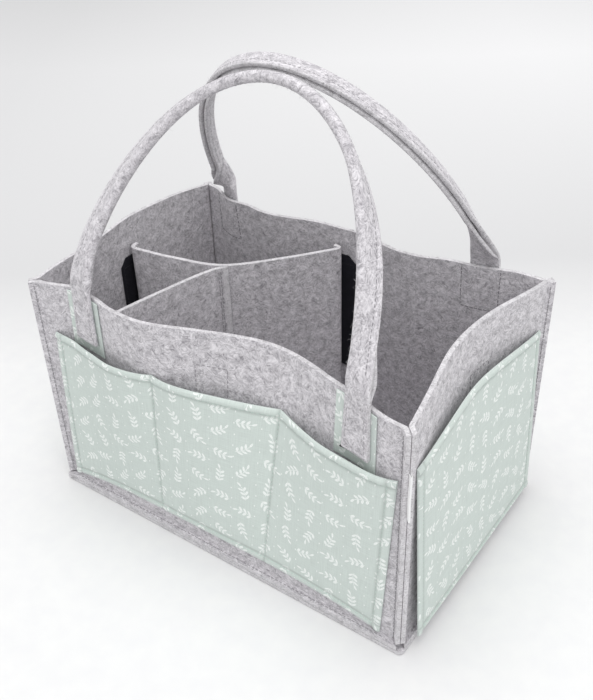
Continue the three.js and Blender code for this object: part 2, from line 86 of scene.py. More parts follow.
def smooth(x, low, high):
    """0 up to low, 1 from high on and a soft step between them."""
    t = np.clip((np.asarray(x, float) - low) / (high - low), 0, 1)
    return t * t * (3 - 2 * t)


def dome(s, half, power=2):
    """1 in the middle of a width and 0 at its two ends."""
    return np.maximum(0, 1 - abs(np.asarray(s, float) / half) ** power)


class Side:
    """One wall, with the sizes of all that is sewn on it."""

    def __init__(self, turn, half, reach, arch, pocket, tape_at, waves, legs=(), **handle):
        self.turn, self.half, self.reach, self.arch = turn, half, reach, arch
        self.tape_at, self.waves, self.legs, self.handle = tape_at, waves, legs, handle
        for key, value in pocket.items():
            setattr(self, key, value)
        self.pocket_half = half - POCKET_INSET
        self.outward = np.array([math.sin(turn), -math.cos(turn), 0.0])

    def inward(self, s, z):
        """How far the wall leans in, with a faint unevenness of the felt itself."""
        s, z = np.asarray(s, float), np.asarray(z, float)
        lean = UNEVEN * np.sin(s / 13 + z / 41 + 3 * self.turn) * np.sin(z / 29 + s / 57 + self.turn)
        for at, reach, depth in self.waves:
            lean = lean + depth * np.cos(np.minimum(1, abs(s - at) / reach) * math.pi / 2) ** 2
        up = np.maximum(0, (z - WALL_START) / (HEIGHT - WALL_START))
        return lean * dome(s, self.half, CORNER_HOLD) * up**LEAN_POWER

    def rim(self, s):
        return HEIGHT + self.arch * dome(s, self.half)

    def mouth(self, s):
        return HEIGHT - self.drop + self.mouth_arch * dome(s, self.pocket_half)

    def foot(self, s):
        return POCKET_FOOT + self.foot_arch * dome(s, self.pocket_half, 4)

    def place(self, s, n, z):
        """From the wall's own frame to the caddy's."""
        s, n, z = np.broadcast_arrays(s, n, z)
        y = -self.reach - n
        cos, sin = math.cos(self.turn), math.sin(self.turn)
        return np.stack([s * cos - y * sin, s * sin + y * cos, z], -1)


print(f"walls stand from {WALL_START} to {HEIGHT} mm and more in their middle")

# %% [markdown]
# The walls differ in their waves, their pockets and their straps. Each wave was measured at the top edge
# by its place, its reach and its depth. The straps pull in short waves, and the slack between them makes
# longer ones. Waves from a cloth simulation would look as natural, but they would not lie where the real
# ones do.

# %% The four walls and their waves
PULL_REACH, QUARTER_TURN = 33.0, math.pi / 2


def pulls(legs, depths):
    """The waves that the straps pull in: the place, reach and depth of each."""
    return [(at, PULL_REACH, depth) for at, depth in zip(legs, depths)]


def slack(half, *waves):
    """The waves between the straps, given in shares of the wall's half length."""
    return [(at * half, reach * half, depth) for at, reach, depth in waves]


FRONT_LEGS, BACK_LEGS = (52 - SIDE_HALF, SIDE_HALF - 40), (51 - SIDE_HALF, SIDE_HALF - 34)
front_waves = pulls(FRONT_LEGS, (5, 3))
front_waves += slack(SIDE_HALF, (-0.82, 0.17, 7), (-0.37, 0.3, -3), (0.3, 0.68, 25))
back_waves = pulls(BACK_LEGS, (8, 13))
back_waves += slack(SIDE_HALF, (-0.37, 0.39, 16), (0.1, 0.8, 12), (0.53, 0.38, 16))
right_waves, left_waves = slack(END_HALF, (-0.09, 1.05, 11)), slack(END_HALF, (0.45, 0.53, 5))
front_handle = {"grip": 9, "knee": 0.2, "skew": -3, "twist": (108, 108), "turns": (0.7, 0.29)}
back_handle = {"grip": 17, "knee": 0.1, "skew": 6, "twist": (45, 110), "turns": (0.1, 0.07)}
back_pocket = dict(cells=3, drop=42, mouth_arch=0, foot_arch=10, foot_out=0, slant=0, gape=8.5)
front_pocket = dict(back_pocket, slant=9)
end_pocket = dict(cells=1, drop=38, mouth_arch=13, foot_arch=0, foot_out=8, slant=0, gape=7)
SIDES = {
    "front": Side(0, SIDE_HALF, END_HALF, 2, front_pocket, 0, front_waves, FRONT_LEGS, **front_handle),
    "right_end": Side(QUARTER_TURN, END_HALF, SIDE_HALF, 11, end_pocket, 8, right_waves),
    "back": Side(math.pi, SIDE_HALF, END_HALF, 2, back_pocket, 10, back_waves, BACK_LEGS, **back_handle),
    "left_end": Side(-QUARTER_TURN, END_HALF, SIDE_HALF, 11, end_pocket, 6, left_waves),
}
for name, side in SIDES.items():
    lean = side.inward(np.linspace(-side.half, side.half, 60), HEIGHT)
    print(f"{name}: top edge from {lean.min():.1f} to {lean.max():.1f} mm inwards")

# %% [markdown]
# Materials are built from nodes. The helpers below add a node and join its sockets to other nodes or set
# them. Colours are written as they look on a screen and turned into the linear values that the renderer
# needs.


# %% Helpers for nodes
def tint(red, green, blue):
    values = [c / 255 for c in (red, green, blue)]
    return [c / 12.92 if c <= 0.04045 else ((c + 0.055) / 1.055) ** 2.4 for c in values] + [1.0]


def feed(tree, socket, value):
    """Join a socket to another node's output, or set it to a constant."""
    if isinstance(value, bpy.types.NodeSocket):
        tree.links.new(value, socket)
    else:
        socket.default_value = value


def add(tree, kind, inputs=(), **settings):
    node = tree.nodes.new(kind)
    for key, value in settings.items():
        setattr(node, key, value)
    for key, value in dict(inputs).items():
        feed(tree, node.inputs[key], value)
    return node


def calc(tree, operation, *values):
    return add(tree, "ShaderNodeMath", enumerate(values), operation=operation).outputs[0]


def extreme(tree, operation, first, *others):
    """The largest or the smallest of several values."""
    for other in others:
        first = calc(tree, operation, first, other)
    return first


def vector_calc(tree, operation, inputs):
    return add(tree, "ShaderNodeVectorMath", inputs, operation=operation).outputs[0]


def spread(tree, value, low, high, to_low=0.0, to_high=1.0):
    ends = {"Value": value, "From Min": low, "From Max": high, "To Min": to_low, "To Max": to_high}
    return add(tree, "ShaderNodeMapRange", ends).outputs[0]


def noise(tree, at, scale, detail=2.0):
    inputs = {"Vector": at, "Scale": scale, "Detail": detail, "Roughness": 0.55}
    return add(tree, "ShaderNodeTexNoise", inputs).outputs


def stretched(tree, at, long, fine, turn, seed):
    """Noise drawn out to long by fine millimetres, turned in the cloth's plane."""
    scale = (long * MM, fine * MM, fine * MM)
    inputs = {"Vector": at, "Location": (seed, seed, seed), "Rotation": (0, 0, turn), "Scale": scale}
    laid = add(tree, "ShaderNodeMapping", inputs, vector_type="TEXTURE").outputs[0]
    return noise(tree, laid, 1.0)[0]


def blend_colour(tree, share, a, b, how="MIX"):
    node = add(tree, "ShaderNodeMix", data_type="RGBA", blend_type=how)
    for number, value in ((0, share), (6, a), (7, b)):
        feed(tree, node.inputs[number], value)
    return node.outputs[2]


print("middle grey on a screen is", round(tint(128, 128, 128)[0], 3), "in linear light")

# %% [markdown]
# A group is a small node tree with sockets of its own. It lets one effect, such as the felt's fibres, be
# described once and used by several materials. What is the same all over a material, such as its
# roughness, is set directly on its shader.


# %% Helpers for groups and materials
def new_group(name, inputs, outputs):
    tree = bpy.data.node_groups.new(name, "ShaderNodeTree")
    for way, sockets in (("INPUT", inputs), ("OUTPUT", outputs)):
        for label, kind in sockets.items():
            tree.interface.new_socket(label, in_out=way, socket_type="NodeSocket" + kind)
    return tree, tree.nodes.new("NodeGroupInput").outputs, tree.nodes.new("NodeGroupOutput").inputs


def use_group(tree, group, inputs):
    node = tree.nodes.new("ShaderNodeGroup")
    node.node_tree = group
    for key, value in inputs.items():
        feed(tree, node.inputs[key], value)
    return node.outputs


def new_material(name, **constants):
    material = bpy.data.materials.new(name)
    material.use_nodes = True
    tree = material.node_tree
    shader = tree.nodes["Principled BSDF"]
    for key, value in constants.items():
        shader.inputs[key.replace("_", " ").title().replace("Ior", "IOR")].default_value = value
    return material, tree, shader


def relief(tree, shader, height, strength, depth):
    inputs = {"Height": height, "Strength": strength, "Distance": depth * MM}
    feed(tree, shader.inputs["Normal"], add(tree, "ShaderNodeBump", inputs).outputs[0])


print("helpers ready for groups, materials and relief")

# %% [markdown]
# Felt is a mat of pressed fibres in several greys, so close up it shows curled streaks a few
# millimetres long, a soft mottle under them and a few dark flecks. Three layers of drawn-out noise,
# turned three ways and bent by a slower noise, give the streaks, and a fleck comes where one of them is
# darkest. A picture of felt would blur close up and repeat itself, which noise does not. The cut edge
# shows the fibre ends, so it is paler.

# %% Felt
STREAKS = [(7.6, 1.12, 0.25, 0.0), (6.4, 0.95, 1.3, 5.1), (8.8, 1.3, 2.4, 9.7)]
CURL_SCALE, MOTTLE_SCALE, SPECK_SCALE = 90.0, 150.0, 1900.0
CURL, STREAK, MOTTLE, SPECK, SOOT = 0.012, 0.62, 0.5, 0.17, 0.55
TONES, FLECKS = (0.78, 1.13), (0.37, 0.25, 0.0, 0.55)
sockets = {"At": "Vector", "Pale": "Color", "Dark": "Color"}
fibres, given, result = new_group("felt_fibres", sockets, {"Color": "Color", "Height": "Float"})
curl = noise(fibres, given["At"], CURL_SCALE, 1.0)["Color"]
curl = vector_calc(fibres, "SUBTRACT", {0: curl, 1: (0.5, 0.5, 0.5)})
curl = vector_calc(fibres, "SCALE", {0: curl, "Scale": CURL})
bent = vector_calc(fibres, "ADD", {0: given["At"], 1: curl})
streaks = [stretched(fibres, bent, *streak) for streak in STREAKS]
palest, darkest = extreme(fibres, "MAXIMUM", *streaks), extreme(fibres, "MINIMUM", *streaks)
mottle = noise(fibres, given["At"], MOTTLE_SCALE, 3.0)[0]
speck = noise(fibres, given["At"], SPECK_SCALE, 1.0)[0]
tone = calc(fibres, "MULTIPLY_ADD", palest, STREAK, calc(fibres, "MULTIPLY", darkest, STREAK))
tone = calc(fibres, "MULTIPLY_ADD", mottle, MOTTLE, tone)
tone = calc(fibres, "MULTIPLY_ADD", speck, SPECK, tone)
matted = blend_colour(fibres, spread(fibres, tone, *TONES), given["Dark"], given["Pale"])
sooty = blend_colour(fibres, 1.0, given["Dark"], (SOOT, SOOT, SOOT, 1.0), "MULTIPLY")
flecked = blend_colour(fibres, spread(fibres, darkest, *FLECKS), matted, sooty)
feed(fibres, result["Color"], flecked)
feed(fibres, result["Height"], tone)


def felt_material(name, pale, dark, coordinates):
    material, tree, shader = new_material(
        name, roughness=0.96, sheen_weight=0.25, sheen_roughness=0.6, specular_ior_level=0.15
    )
    at = add(tree, "ShaderNodeTexCoord").outputs[coordinates]
    out = use_group(tree, fibres, {"At": at, "Pale": tint(*pale), "Dark": tint(*dark)})
    feed(tree, shader.inputs["Base Color"], out["Color"])
    relief(tree, shader, out["Height"], 0.55, 0.7)
    return material


felt_look = felt_material("grey_felt", (227, 224, 228), (156, 153, 158), "UV")
cut_look = felt_material("felt_cut_edge", (222, 220, 223), (174, 172, 175), "Object")
# The divider's cut faces are paler still. Part of that is the fibre ends, and part is a painted highlight
# on its raised end and top edges.
pale_cut_and_highlight = felt_material("felt_pale_cut_edge_and_highlight", (225, 223, 226), (186, 184, 187), "Object")
FELT_LOOKS = [felt_look, cut_look]
print("felt:", len(fibres.nodes), "nodes in the shared group")

# %% [markdown]
# The pockets are plain-woven cotton. Two fine waves that cross give the weave its relief. Two drawn-out
# noises, one along each way of the threads, give the slubs, which are thicker and paler lengths of yarn.

# %% Cotton weave
PITCH, SLUB, CROSSING = 0.55, 0.8, 0.12
weave, given, result = new_group("cotton_weave", {"At": "Vector"}, {"Shade": "Float", "Height": "Float"})
axes = add(weave, "ShaderNodeSeparateXYZ", {0: given["At"]}).outputs
pace = 2 * math.pi / (PITCH * MM)
threads = [calc(weave, "SINE", calc(weave, "MULTIPLY", axes[k], pace)) for k in (0, 1)]
warp = stretched(weave, given["At"], 14.0, 0.5, 0.0, 2.0)
weft = stretched(weave, given["At"], 18.0, 0.5, QUARTER_TURN, 6.0)
slub = calc(weave, "ADD", warp, weft)
crossing = calc(weave, "MULTIPLY", calc(weave, "MULTIPLY", *threads), CROSSING)
feed(weave, result["Shade"], spread(weave, slub, 0.7, 1.3))
feed(weave, result["Height"], calc(weave, "MULTIPLY_ADD", slub, SLUB, crossing))
print("weave:", PITCH, "mm from thread to thread")

# %% [markdown]
# The cotton is printed in white. The print here is an own generic one: small oval-leaf sprigs in a
# half-drop repeat, with dots between them. Each sprig is turned at random and strays a little from its
# place, and all of that is worked out from the number of its own grid cell.

# %% Places of the sprigs
REPEAT, FINER, STRAY = 20.0, 1.2, 3.0
sprigs, given, result = new_group("sprig_print", {"At": "Vector"}, {"Mask": "Float"})


def draw(operation, *values):
    return calc(sprigs, operation, *values)


def split(vector):
    return add(sprigs, "ShaderNodeSeparateXYZ", {0: vector}).outputs


def join(x, y):
    return add(sprigs, "ShaderNodeCombineXYZ", {0: x, 1: y}).outputs[0]


def in_cell(value):
    """Millimetres from the middle of a cell, from a place counted in cells."""
    return draw("MULTIPLY", draw("SUBTRACT", draw("FRACT", value), 0.5), REPEAT)


axes = split(given["At"])
column = draw("DIVIDE", axes[0], REPEAT * MM)
column_number = draw("FLOOR", column)
half_drop = draw("MULTIPLY", draw("FLOORED_MODULO", column_number, 2.0), 0.5)
row = draw("ADD", draw("DIVIDE", axes[1], REPEAT * MM), half_drop)
cell_x, cell_y = in_cell(column), in_cell(row)
cell = join(column_number, draw("FLOOR", row))
lot = add(sprigs, "ShaderNodeTexWhiteNoise", {"Vector": cell}, noise_dimensions="3D").outputs
lots = split(lot["Color"])
moved = []
for place, share in ((cell_x, lots[0]), (cell_y, lots[1])):
    astray = draw("MULTIPLY", draw("SUBTRACT", share, 0.5), STRAY)
    moved.append(draw("MULTIPLY", draw("ADD", place, astray), FINER))
inputs = {"Vector": join(*moved), "Angle": draw("MULTIPLY", lot["Value"], 2 * math.pi)}
turned = split(add(sprigs, "ShaderNodeVectorRotate", inputs, rotation_type="Z_AXIS").outputs[0])
print("print: one sprig every", REPEAT, "mm")

# %% [markdown]
# Each shape of the print starts as a distance from its outline, which is then turned into ink. A sprig
# has a bent stem, three pairs of leaves along it and one leaf at its tip, each with a bare vein.

# %% Shapes of the print
SOFT, VEIN, VEIN_SHOWS, DOT = 0.12, 0.13, 0.8, 0.8
STEM_BOW, STEM_HALF_WIDE, STEM_HALF_LONG = 0.022, 0.22, 8.4
MIDDLE_X, MIDDLE_Y, TIP_AT = 1.4, 1.0, 9.4
LEAF = {"at_y": 2.3, "turn": 0.85, "long": 2.6, "wide": 1.05}
TIP = {"at_y": 0.0, "turn": 0.0, "long": 2.4, "wide": 1.0}


def ink(distance):
    """1 inside a shape and 0 outside it, from a signed distance in millimetres."""
    return spread(sprigs, distance, SOFT, -SOFT)


def oval(x, y, at_x, at_y, turn, long, wide):
    dx, dy = draw("SUBTRACT", x, at_x), draw("SUBTRACT", y, at_y)
    cos, sin = math.cos(turn), math.sin(turn)
    along = draw("MULTIPLY_ADD", dx, cos / long, draw("MULTIPLY", dy, sin / long))
    across = draw("MULTIPLY_ADD", dx, -sin / wide, draw("MULTIPLY", dy, cos / wide))
    squares = draw("MULTIPLY_ADD", along, along, draw("MULTIPLY", across, across))
    body = ink(draw("MULTIPLY", draw("SUBTRACT", draw("SQRT", squares), 1.0), wide))
    vein = ink(draw("SUBTRACT", draw("ABSOLUTE", draw("MULTIPLY", across, wide)), VEIN))
    return draw("MULTIPLY", body, draw("SUBTRACT", 1.0, draw("MULTIPLY", vein, VEIN_SHOWS)))


bow = draw("MULTIPLY", draw("MULTIPLY", turned[0], turned[0]), STEM_BOW)
x = draw("ADD", turned[0], MIDDLE_X)
y = draw("SUBTRACT", turned[1], draw("SUBTRACT", bow, MIDDLE_Y))
mirrored = draw("ABSOLUTE", y)
beside = draw("SUBTRACT", mirrored, STEM_HALF_WIDE)
beyond = draw("SUBTRACT", draw("ABSOLUTE", x), STEM_HALF_LONG)
stem = ink(draw("MAXIMUM", beside, beyond))
leaves = [oval(x, mirrored, at, **LEAF) for at in (-5.4, -0.8, 3.8)]
corner_x, corner_y = (draw("SUBTRACT", REPEAT / 2, draw("ABSOLUTE", c)) for c in (cell_x, cell_y))
square_y = draw("MULTIPLY", corner_y, corner_y)
from_corner = draw("SQRT", draw("MULTIPLY_ADD", corner_x, corner_x, square_y))
dot = ink(draw("SUBTRACT", from_corner, DOT))
mask = extreme(sprigs, "MAXIMUM", stem, oval(x, y, TIP_AT, **TIP), dot, *leaves)
feed(sprigs, result["Mask"], mask)
print("print:", len(sprigs.nodes), "nodes")

# %% [markdown]
# The cotton's colour is the mint ground with its slubs, then the white print, a little worn where the
# yarn is thin, and last a soft shadow in the grooves that the seams press into the cloth.

# %% Cotton
# The last two set how dark and how strong the painted shadow in the seam grooves is.
SHADED, GROOVE_SHADE, GROOVE_SHADE_SHOWS, WORN = 0.84, 0.62, 0.7, 0.78


def dimmed(colour, share):
    return [c * share for c in tint(*colour)[:3]] + [1.0]


def cotton_material(name, ground, print_colour=None):
    material, tree, shader = new_material(
        name, roughness=0.9, sheen_weight=0.12, sheen_roughness=0.5, specular_ior_level=0.2
    )
    at = add(tree, "ShaderNodeTexCoord").outputs["UV"]
    cloth = use_group(tree, weave, {"At": at})
    colour = blend_colour(tree, cloth["Shade"], dimmed(ground, SHADED), tint(*ground))
    if print_colour:
        mask = use_group(tree, sprigs, {"At": at})["Mask"]
        worn = calc(tree, "MULTIPLY", mask, spread(tree, cloth["Shade"], 0.0, 1.0, WORN, 1.0))
        colour = blend_colour(tree, worn, colour, tint(*print_colour))
    # Painted shadow: the pressed attribute darkens the cloth's colour in the seam grooves.
    pressed = add(tree, "ShaderNodeAttribute", attribute_name="pressed").outputs["Fac"]
    groove = calc(tree, "MULTIPLY", pressed, GROOVE_SHADE_SHOWS)
    colour = blend_colour(tree, groove, colour, dimmed(ground, GROOVE_SHADE))
    feed(tree, shader.inputs["Base Color"], colour)
    relief(tree, shader, cloth["Height"], 0.35, 0.35)
    return material


cotton_look = cotton_material("mint_cotton", (212, 222, 217), (247, 250, 248))
hem_look = cotton_material("mint_cotton_edge", (214, 224, 219))
COTTON_LOOKS = [cotton_look, hem_look]
print("cotton:", [look.name for look in COTTON_LOOKS])

# %% [markdown]
# The smaller materials: black hook tape, a white ribbon tag and sewing thread in five colours. The
# tape's hooks stand in close rows, which only show as a fine dark grain, and a thread is twisted, so a
# slanted wave runs round it.


# %% Tape, ribbon and thread
def grained_material(name, dark, pale, scale, roughness, depth):
    material, tree, shader = new_material(name, roughness=roughness, specular_ior_level=0.25)
    at = add(tree, "ShaderNodeTexCoord").outputs["UV"]
    rows = add(tree, "ShaderNodeTexVoronoi", {"Vector": at, "Scale": scale, "Randomness": 0.35})
    worn = noise(tree, at, scale * 0.12, 3.0)[0]
    value = calc(tree, "MULTIPLY_ADD", worn, 0.6, rows.outputs["Distance"])
    colour = blend_colour(tree, spread(tree, value, 0.3, 0.9), tint(*dark), tint(*pale))
    feed(tree, shader.inputs["Base Color"], colour)
    relief(tree, shader, value, 0.6, depth)
    return material


def thread_material(name, pale, dark):
    material, tree, shader = new_material(name, roughness=0.7, sheen_weight=0.1, specular_ior_level=0.3)
    at = add(tree, "ShaderNodeTexCoord").outputs["Object"]
    inputs = {"Vector": at, "Scale": 900.0, "Distortion": 1.5}
    twist = add(tree, "ShaderNodeTexWave", inputs, bands_direction="DIAGONAL").outputs[1]
    feed(tree, shader.inputs["Base Color"], blend_colour(tree, twist, tint(*dark), tint(*pale)))
    relief(tree, shader, twist, 0.3, 0.1)
    return material


tape_look = grained_material("hook_tape", (9, 9, 13), (34, 34, 42), 1100.0, 0.85, 0.5)
ribbon_look = grained_material("white_ribbon", (222, 223, 224), (250, 250, 250), 1600.0, 0.55, 0.1)
grey_thread = thread_material("grey_thread", (168, 166, 170), (118, 116, 120))
# This thread is darker than the felt's own thread, so that its colour also paints the shade in the groove
# its stitches press in.
dark_thread_and_shade = thread_material("dark_grey_thread_and_shade", (136, 134, 138), (98, 96, 100))
pale_thread = thread_material("pale_grey_thread", (190, 188, 191), (142, 140, 144))
mint_thread = thread_material("mint_thread", (222, 234, 228), (158, 182, 171))
black_thread = thread_material("black_thread", (40, 40, 46), (16, 16, 20))
print("materials:", len(bpy.data.materials))

# %% [markdown]
# Every piece is a mesh made from points and faces. The flat position of each point on the uncut cloth
# goes with it as its texture position, so the print and the fibres follow the bends. Each kind of piece
# starts hundreds of millimetres away from the others on that cloth, so they don't all show the same
# fibres. A small bevel softens the cut.


# %% A mesh with its place on the cloth
def make_object(name, points, faces, looks, look_of, flat):
    mesh = bpy.data.meshes.new(name)
    mesh.from_pydata((points * MM).tolist(), [], faces)
    for look in looks:
        mesh.materials.append(look)
    mesh.polygons.foreach_set("material_index", look_of)
    mesh.polygons.foreach_set("use_smooth", [True] * len(faces))
    corner = np.empty(len(mesh.loops), np.int32)
    mesh.loops.foreach_get("vertex_index", corner)
    mesh.uv_layers.new(name="cloth").data.foreach_set("uv", (flat[corner] * MM).ravel())
    work = bmesh.new()
    work.from_mesh(mesh)
    bmesh.ops.recalc_face_normals(work, faces=work.faces)
    work.to_mesh(mesh)
    work.free()
    obj = bpy.data.objects.new(name, mesh)
    bpy.context.scene.collection.objects.link(obj)
    return obj


def soften(obj, width):
    bevel = obj.modifiers.new("soft edge", "BEVEL")
    bevel.width, bevel.segments, bevel.harden_normals = width * MM, 2, True
    bevel.limit_method, bevel.angle_limit = "ANGLE", math.radians(50)
    return obj


print("meshes are made in millimetres and kept in metres, 1 mm =", MM, "m")

# %% [markdown]
# Cloth has thickness, so every sheet is two grids of points, a face and a back, closed round the edge. A
# solidify modifier could thicken one grid, but with two grids the face can have raised hems and pressed
# seams while the back stays smooth.

# %% A sheet of cloth with two sides
BACK_SHIFT = (613.0, 271.0)


def closed_sheet(name, face, back, flat, looks, keep=None, edge=0.6):
    """A sheet from two grids of points, or from the cells of them that are kept."""
    rows, columns = face.shape[:2]
    layer = rows * columns
    kept = np.ones((rows - 1, columns - 1), bool) if keep is None else keep
    number = np.arange(layer).reshape(rows, columns)
    a, b, c, d = number[:-1, :-1], number[:-1, 1:], number[1:, 1:], number[1:, :-1]
    quads = [np.stack([a, b, c, d], -1)[kept], np.stack([a, d, c, b], -1)[kept] + layer]
    wide = np.pad(kept, 1)
    beside = (wide[:-2, 1:-1], wide[1:-1, 2:], wide[2:, 1:-1], wide[1:-1, :-2])
    for one, other, next_kept in zip((a, b, c, d), (b, c, d, a), beside):
        rim = kept & ~next_kept
        quads.append(np.stack([other, one, one + layer, other + layer], -1)[rim])
    look_of = np.concatenate([np.full(len(q), min(k // 2, 1)) for k, q in enumerate(quads)])
    used, quads = np.unique(np.concatenate(quads), return_inverse=True)
    points = np.concatenate([face.reshape(-1, 3), back.reshape(-1, 3)])[used]
    flat = flat.reshape(-1, 2)
    flat = np.concatenate([flat, flat + BACK_SHIFT])[used]
    obj = make_object(name, points, quads.reshape(-1, 4).tolist(), looks, look_of, flat)
    return soften(obj, edge)


def finish_piece(obj, body="caddy", nodes=()):
    """Put the piece on the body it rides on and hide the frame's parts that it replaces."""
    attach(obj, body)
    if nodes:
        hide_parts(*nodes)


print("sheets: face, back and edge in one mesh")

# %% [markdown]
# The base is one felt rectangle with rounded corners. The walls' feet are sewn on top of its rim, so
# two layers show all round the bottom of the caddy. It is built in rings that shrink to its middle,
# because one face with so many corners would be split into long thin triangles.

# %% Base panel
ROUND, ARC_POINTS, RINGS = 4.0, 7, 13
outline = []
for sign_x, sign_y, start in ((1, 1, 0), (-1, 1, 90), (-1, -1, 180), (1, -1, 270)):
    for angle in np.radians(np.linspace(start, start + 90, ARC_POINTS)):
        x = sign_x * (LENGTH / 2 - ROUND) + ROUND * math.cos(angle)
        y = sign_y * (DEPTH / 2 - ROUND) + ROUND * math.sin(angle)
        outline.append((x, y))
outline, count = np.array(outline), len(outline)
plan = [outline * share for share in np.linspace(1, 0, RINGS + 1)[:-1]]
plan = np.concatenate(plan + [[(0.0, 0.0)]])
points = np.concatenate([np.column_stack([plan, np.full(len(plan), z)]) for z in (FELT, 0.0)])
faces, layer = [], len(plan)
for shift in (0, layer):
    for ring in range(RINGS - 1):
        first = shift + ring * count
        for i in range(count):
            j = (i + 1) % count
            faces.append([first + i, first + j, first + count + j, first + count + i])
    first = shift + (RINGS - 1) * count
    faces += [[first + i, first + (i + 1) % count, shift + layer - 1] for i in range(count)]
look_of = [0] * len(faces) + [1] * count
faces += [[i, (i + 1) % count, layer + (i + 1) % count, layer + i] for i in range(count)]
base = soften(make_object("base_cloth", points, faces, FELT_LOOKS, look_of, points[:, :2] + 900), 0.6)
finish_piece(base, "caddy", ["base_panel"])
print("base:", len(base.data.polygons), "faces")

# %% [markdown]
# Each wall is cut with a seam allowance all round. Its foot is turned out over the base, and at each
# corner a flange is turned out at 45 degrees and sewn to the next wall's flange, so the raw felt edges
# stand outside. A box with bent sides would be less work, but these turned-out edges are what shows that
# the caddy is sewn. The stations give the felt's path in plan, with the way it heads at each one.

# %% Walls
WALL_ROWS, WALL_STEP, FOOT_REST = 46, 4.0, SEAM / 2 + 0.9


def lengths(line):
    """How far along a line of points each point lies."""
    return np.concatenate([[0], np.cumsum(np.linalg.norm(np.diff(line, axis=0), axis=1))])


def bend_start(side):
    return side.half - HALF_FELT + BEND * (1 - math.sqrt(2)) - math.sqrt(2) * (LAY + FELT) / 2


def wall_stations(side):
    start, tip, corner = bend_start(side), SEAM / math.sqrt(2), []
    for heading in np.array([0.25, 0.5, 0.75, 1.0]) * math.pi / 4:
        s, n = start + BEND * math.sin(heading), BEND * (1 - math.cos(heading)) - HALF_FELT
        corner.append((s, n, heading))
    corner += [(s + (tip - n) * share, mix(n, tip, share), heading) for share in (0.25, 0.5, 0.75, 1.0)]
    middle = [(s, -HALF_FELT, 0.0) for s in np.linspace(-start, start, round(2 * start / WALL_STEP) + 1)]
    stations = [(-s, n, -heading) for s, n, heading in reversed(corner)] + middle + corner
    return np.array(stations).T, len(corner)


def wall_grid(side):
    (s, n, heading), flange = wall_stations(side)
    start = bend_start(side)
    foot = [(SEAM, FOOT_MIDDLE, 0.0), (FOOT_REST, FOOT_MIDDLE, 0.0)]
    for tilt in np.array([0.0, 0.25, 0.5, 0.75]) * math.pi / 2:
        out, z = BEND - HALF_FELT - BEND * math.sin(tilt), FOOT_MIDDLE + BEND * (1 - math.cos(tilt))
        foot.append((out, z, tilt))
    heights = [mix(WALL_START, side.rim(s), share) for share in np.linspace(0, 1, WALL_ROWS)]
    grids = []
    for shift in (HALF_FELT, -HALF_FELT):
        rows = []
        for out, z, tilt in foot:
            mitred = s * (1 + (out + HALF_FELT) / start)
            rows.append(side.place(mitred, out + shift * math.sin(tilt), z + shift * math.cos(tilt)))
        for z in heights:
            out = n - side.inward(s, z) + shift * np.cos(heading)
            rows.append(side.place(s - shift * np.sin(heading), out, z))
        grids.append(np.array(rows))
    along = lengths(np.column_stack([s, n])) + 700 * abs(side.turn)
    up = [-SEAM + 2 * k for k in range(len(foot))] + [float(np.mean(z)) for z in heights]
    flat = np.stack(np.meshgrid(along, up), -1)
    keep = np.ones((len(up) - 1, len(s) - 1), bool)
    keep[: len(foot), :flange] = keep[: len(foot), -flange:] = False
    return grids, flat, keep


for name, side in SIDES.items():
    (face, back), flat, keep = wall_grid(side)
    wall = closed_sheet(f"{name}_wall_cloth", face, back, flat, FELT_LOOKS, keep)
    size = (2 * side.half + 2 * SEAM, HEIGHT + SEAM)
    finish_piece(wall, "caddy", [f"{name}_wall"])
    print(f"{name} wall: {len(wall.data.polygons)} faces")

# %% [markdown]
# A pocket is a cotton panel with its edges turned under. The fold makes a soft round welt about six
# millimetres wide, and the topstitch presses a groove behind it. It is sewn at its foot, its sides and
# along the lines between its cells, which pucker and are pressed in too. The empty cells stand a little
# open at the mouth, and the front pocket is sewn on slightly askew. A simulation could hang the cotton,
# but an empty pocket that is sewn flat hardly hangs, so a few formulas give its form.

# %% Shape of a pocket
CELL_POWER, RISE_POWER = 2.4, 0.8
SIDE_WELT, TOP_WELT, FOOT_WELT = 0.9, 1.2, 0.8
GROOVE, GROOVE_WIDE, BEHIND_HEM = 0.5, 1.1, 0.4
LINE_PUCKER, HEM_PUCKER = 0.4, 0.3


def pocket_rise(side, s, z):
    return np.clip((z - side.foot(s)) / (side.mouth(s) - side.foot(s)), 0, 1)


def slanted(side, s, z):
    """Where a point of the pocket lies along the wall, as it is sewn on a little askew."""
    return s + side.slant * (pocket_rise(side, s, z) - 0.5)


def pocket_back(side, s, z):
    """How far the pocket's back stands out from the wall's plane."""
    cell = (s / side.pocket_half + 1) / 2 * side.cells
    across = 1 - abs(2 * (cell - np.floor(cell)) - 1) ** CELL_POWER
    up = pocket_rise(side, s, z)
    gape = side.gape * across * up**RISE_POWER + side.foot_out * (1 - up)
    return LAY + gape - side.inward(slanted(side, s, z), z)


def seam_lines(side):
    return np.linspace(-side.pocket_half, side.pocket_half, side.cells + 1)


def groove(away):
    return np.exp(-((away / GROOVE_WIDE) ** 2))


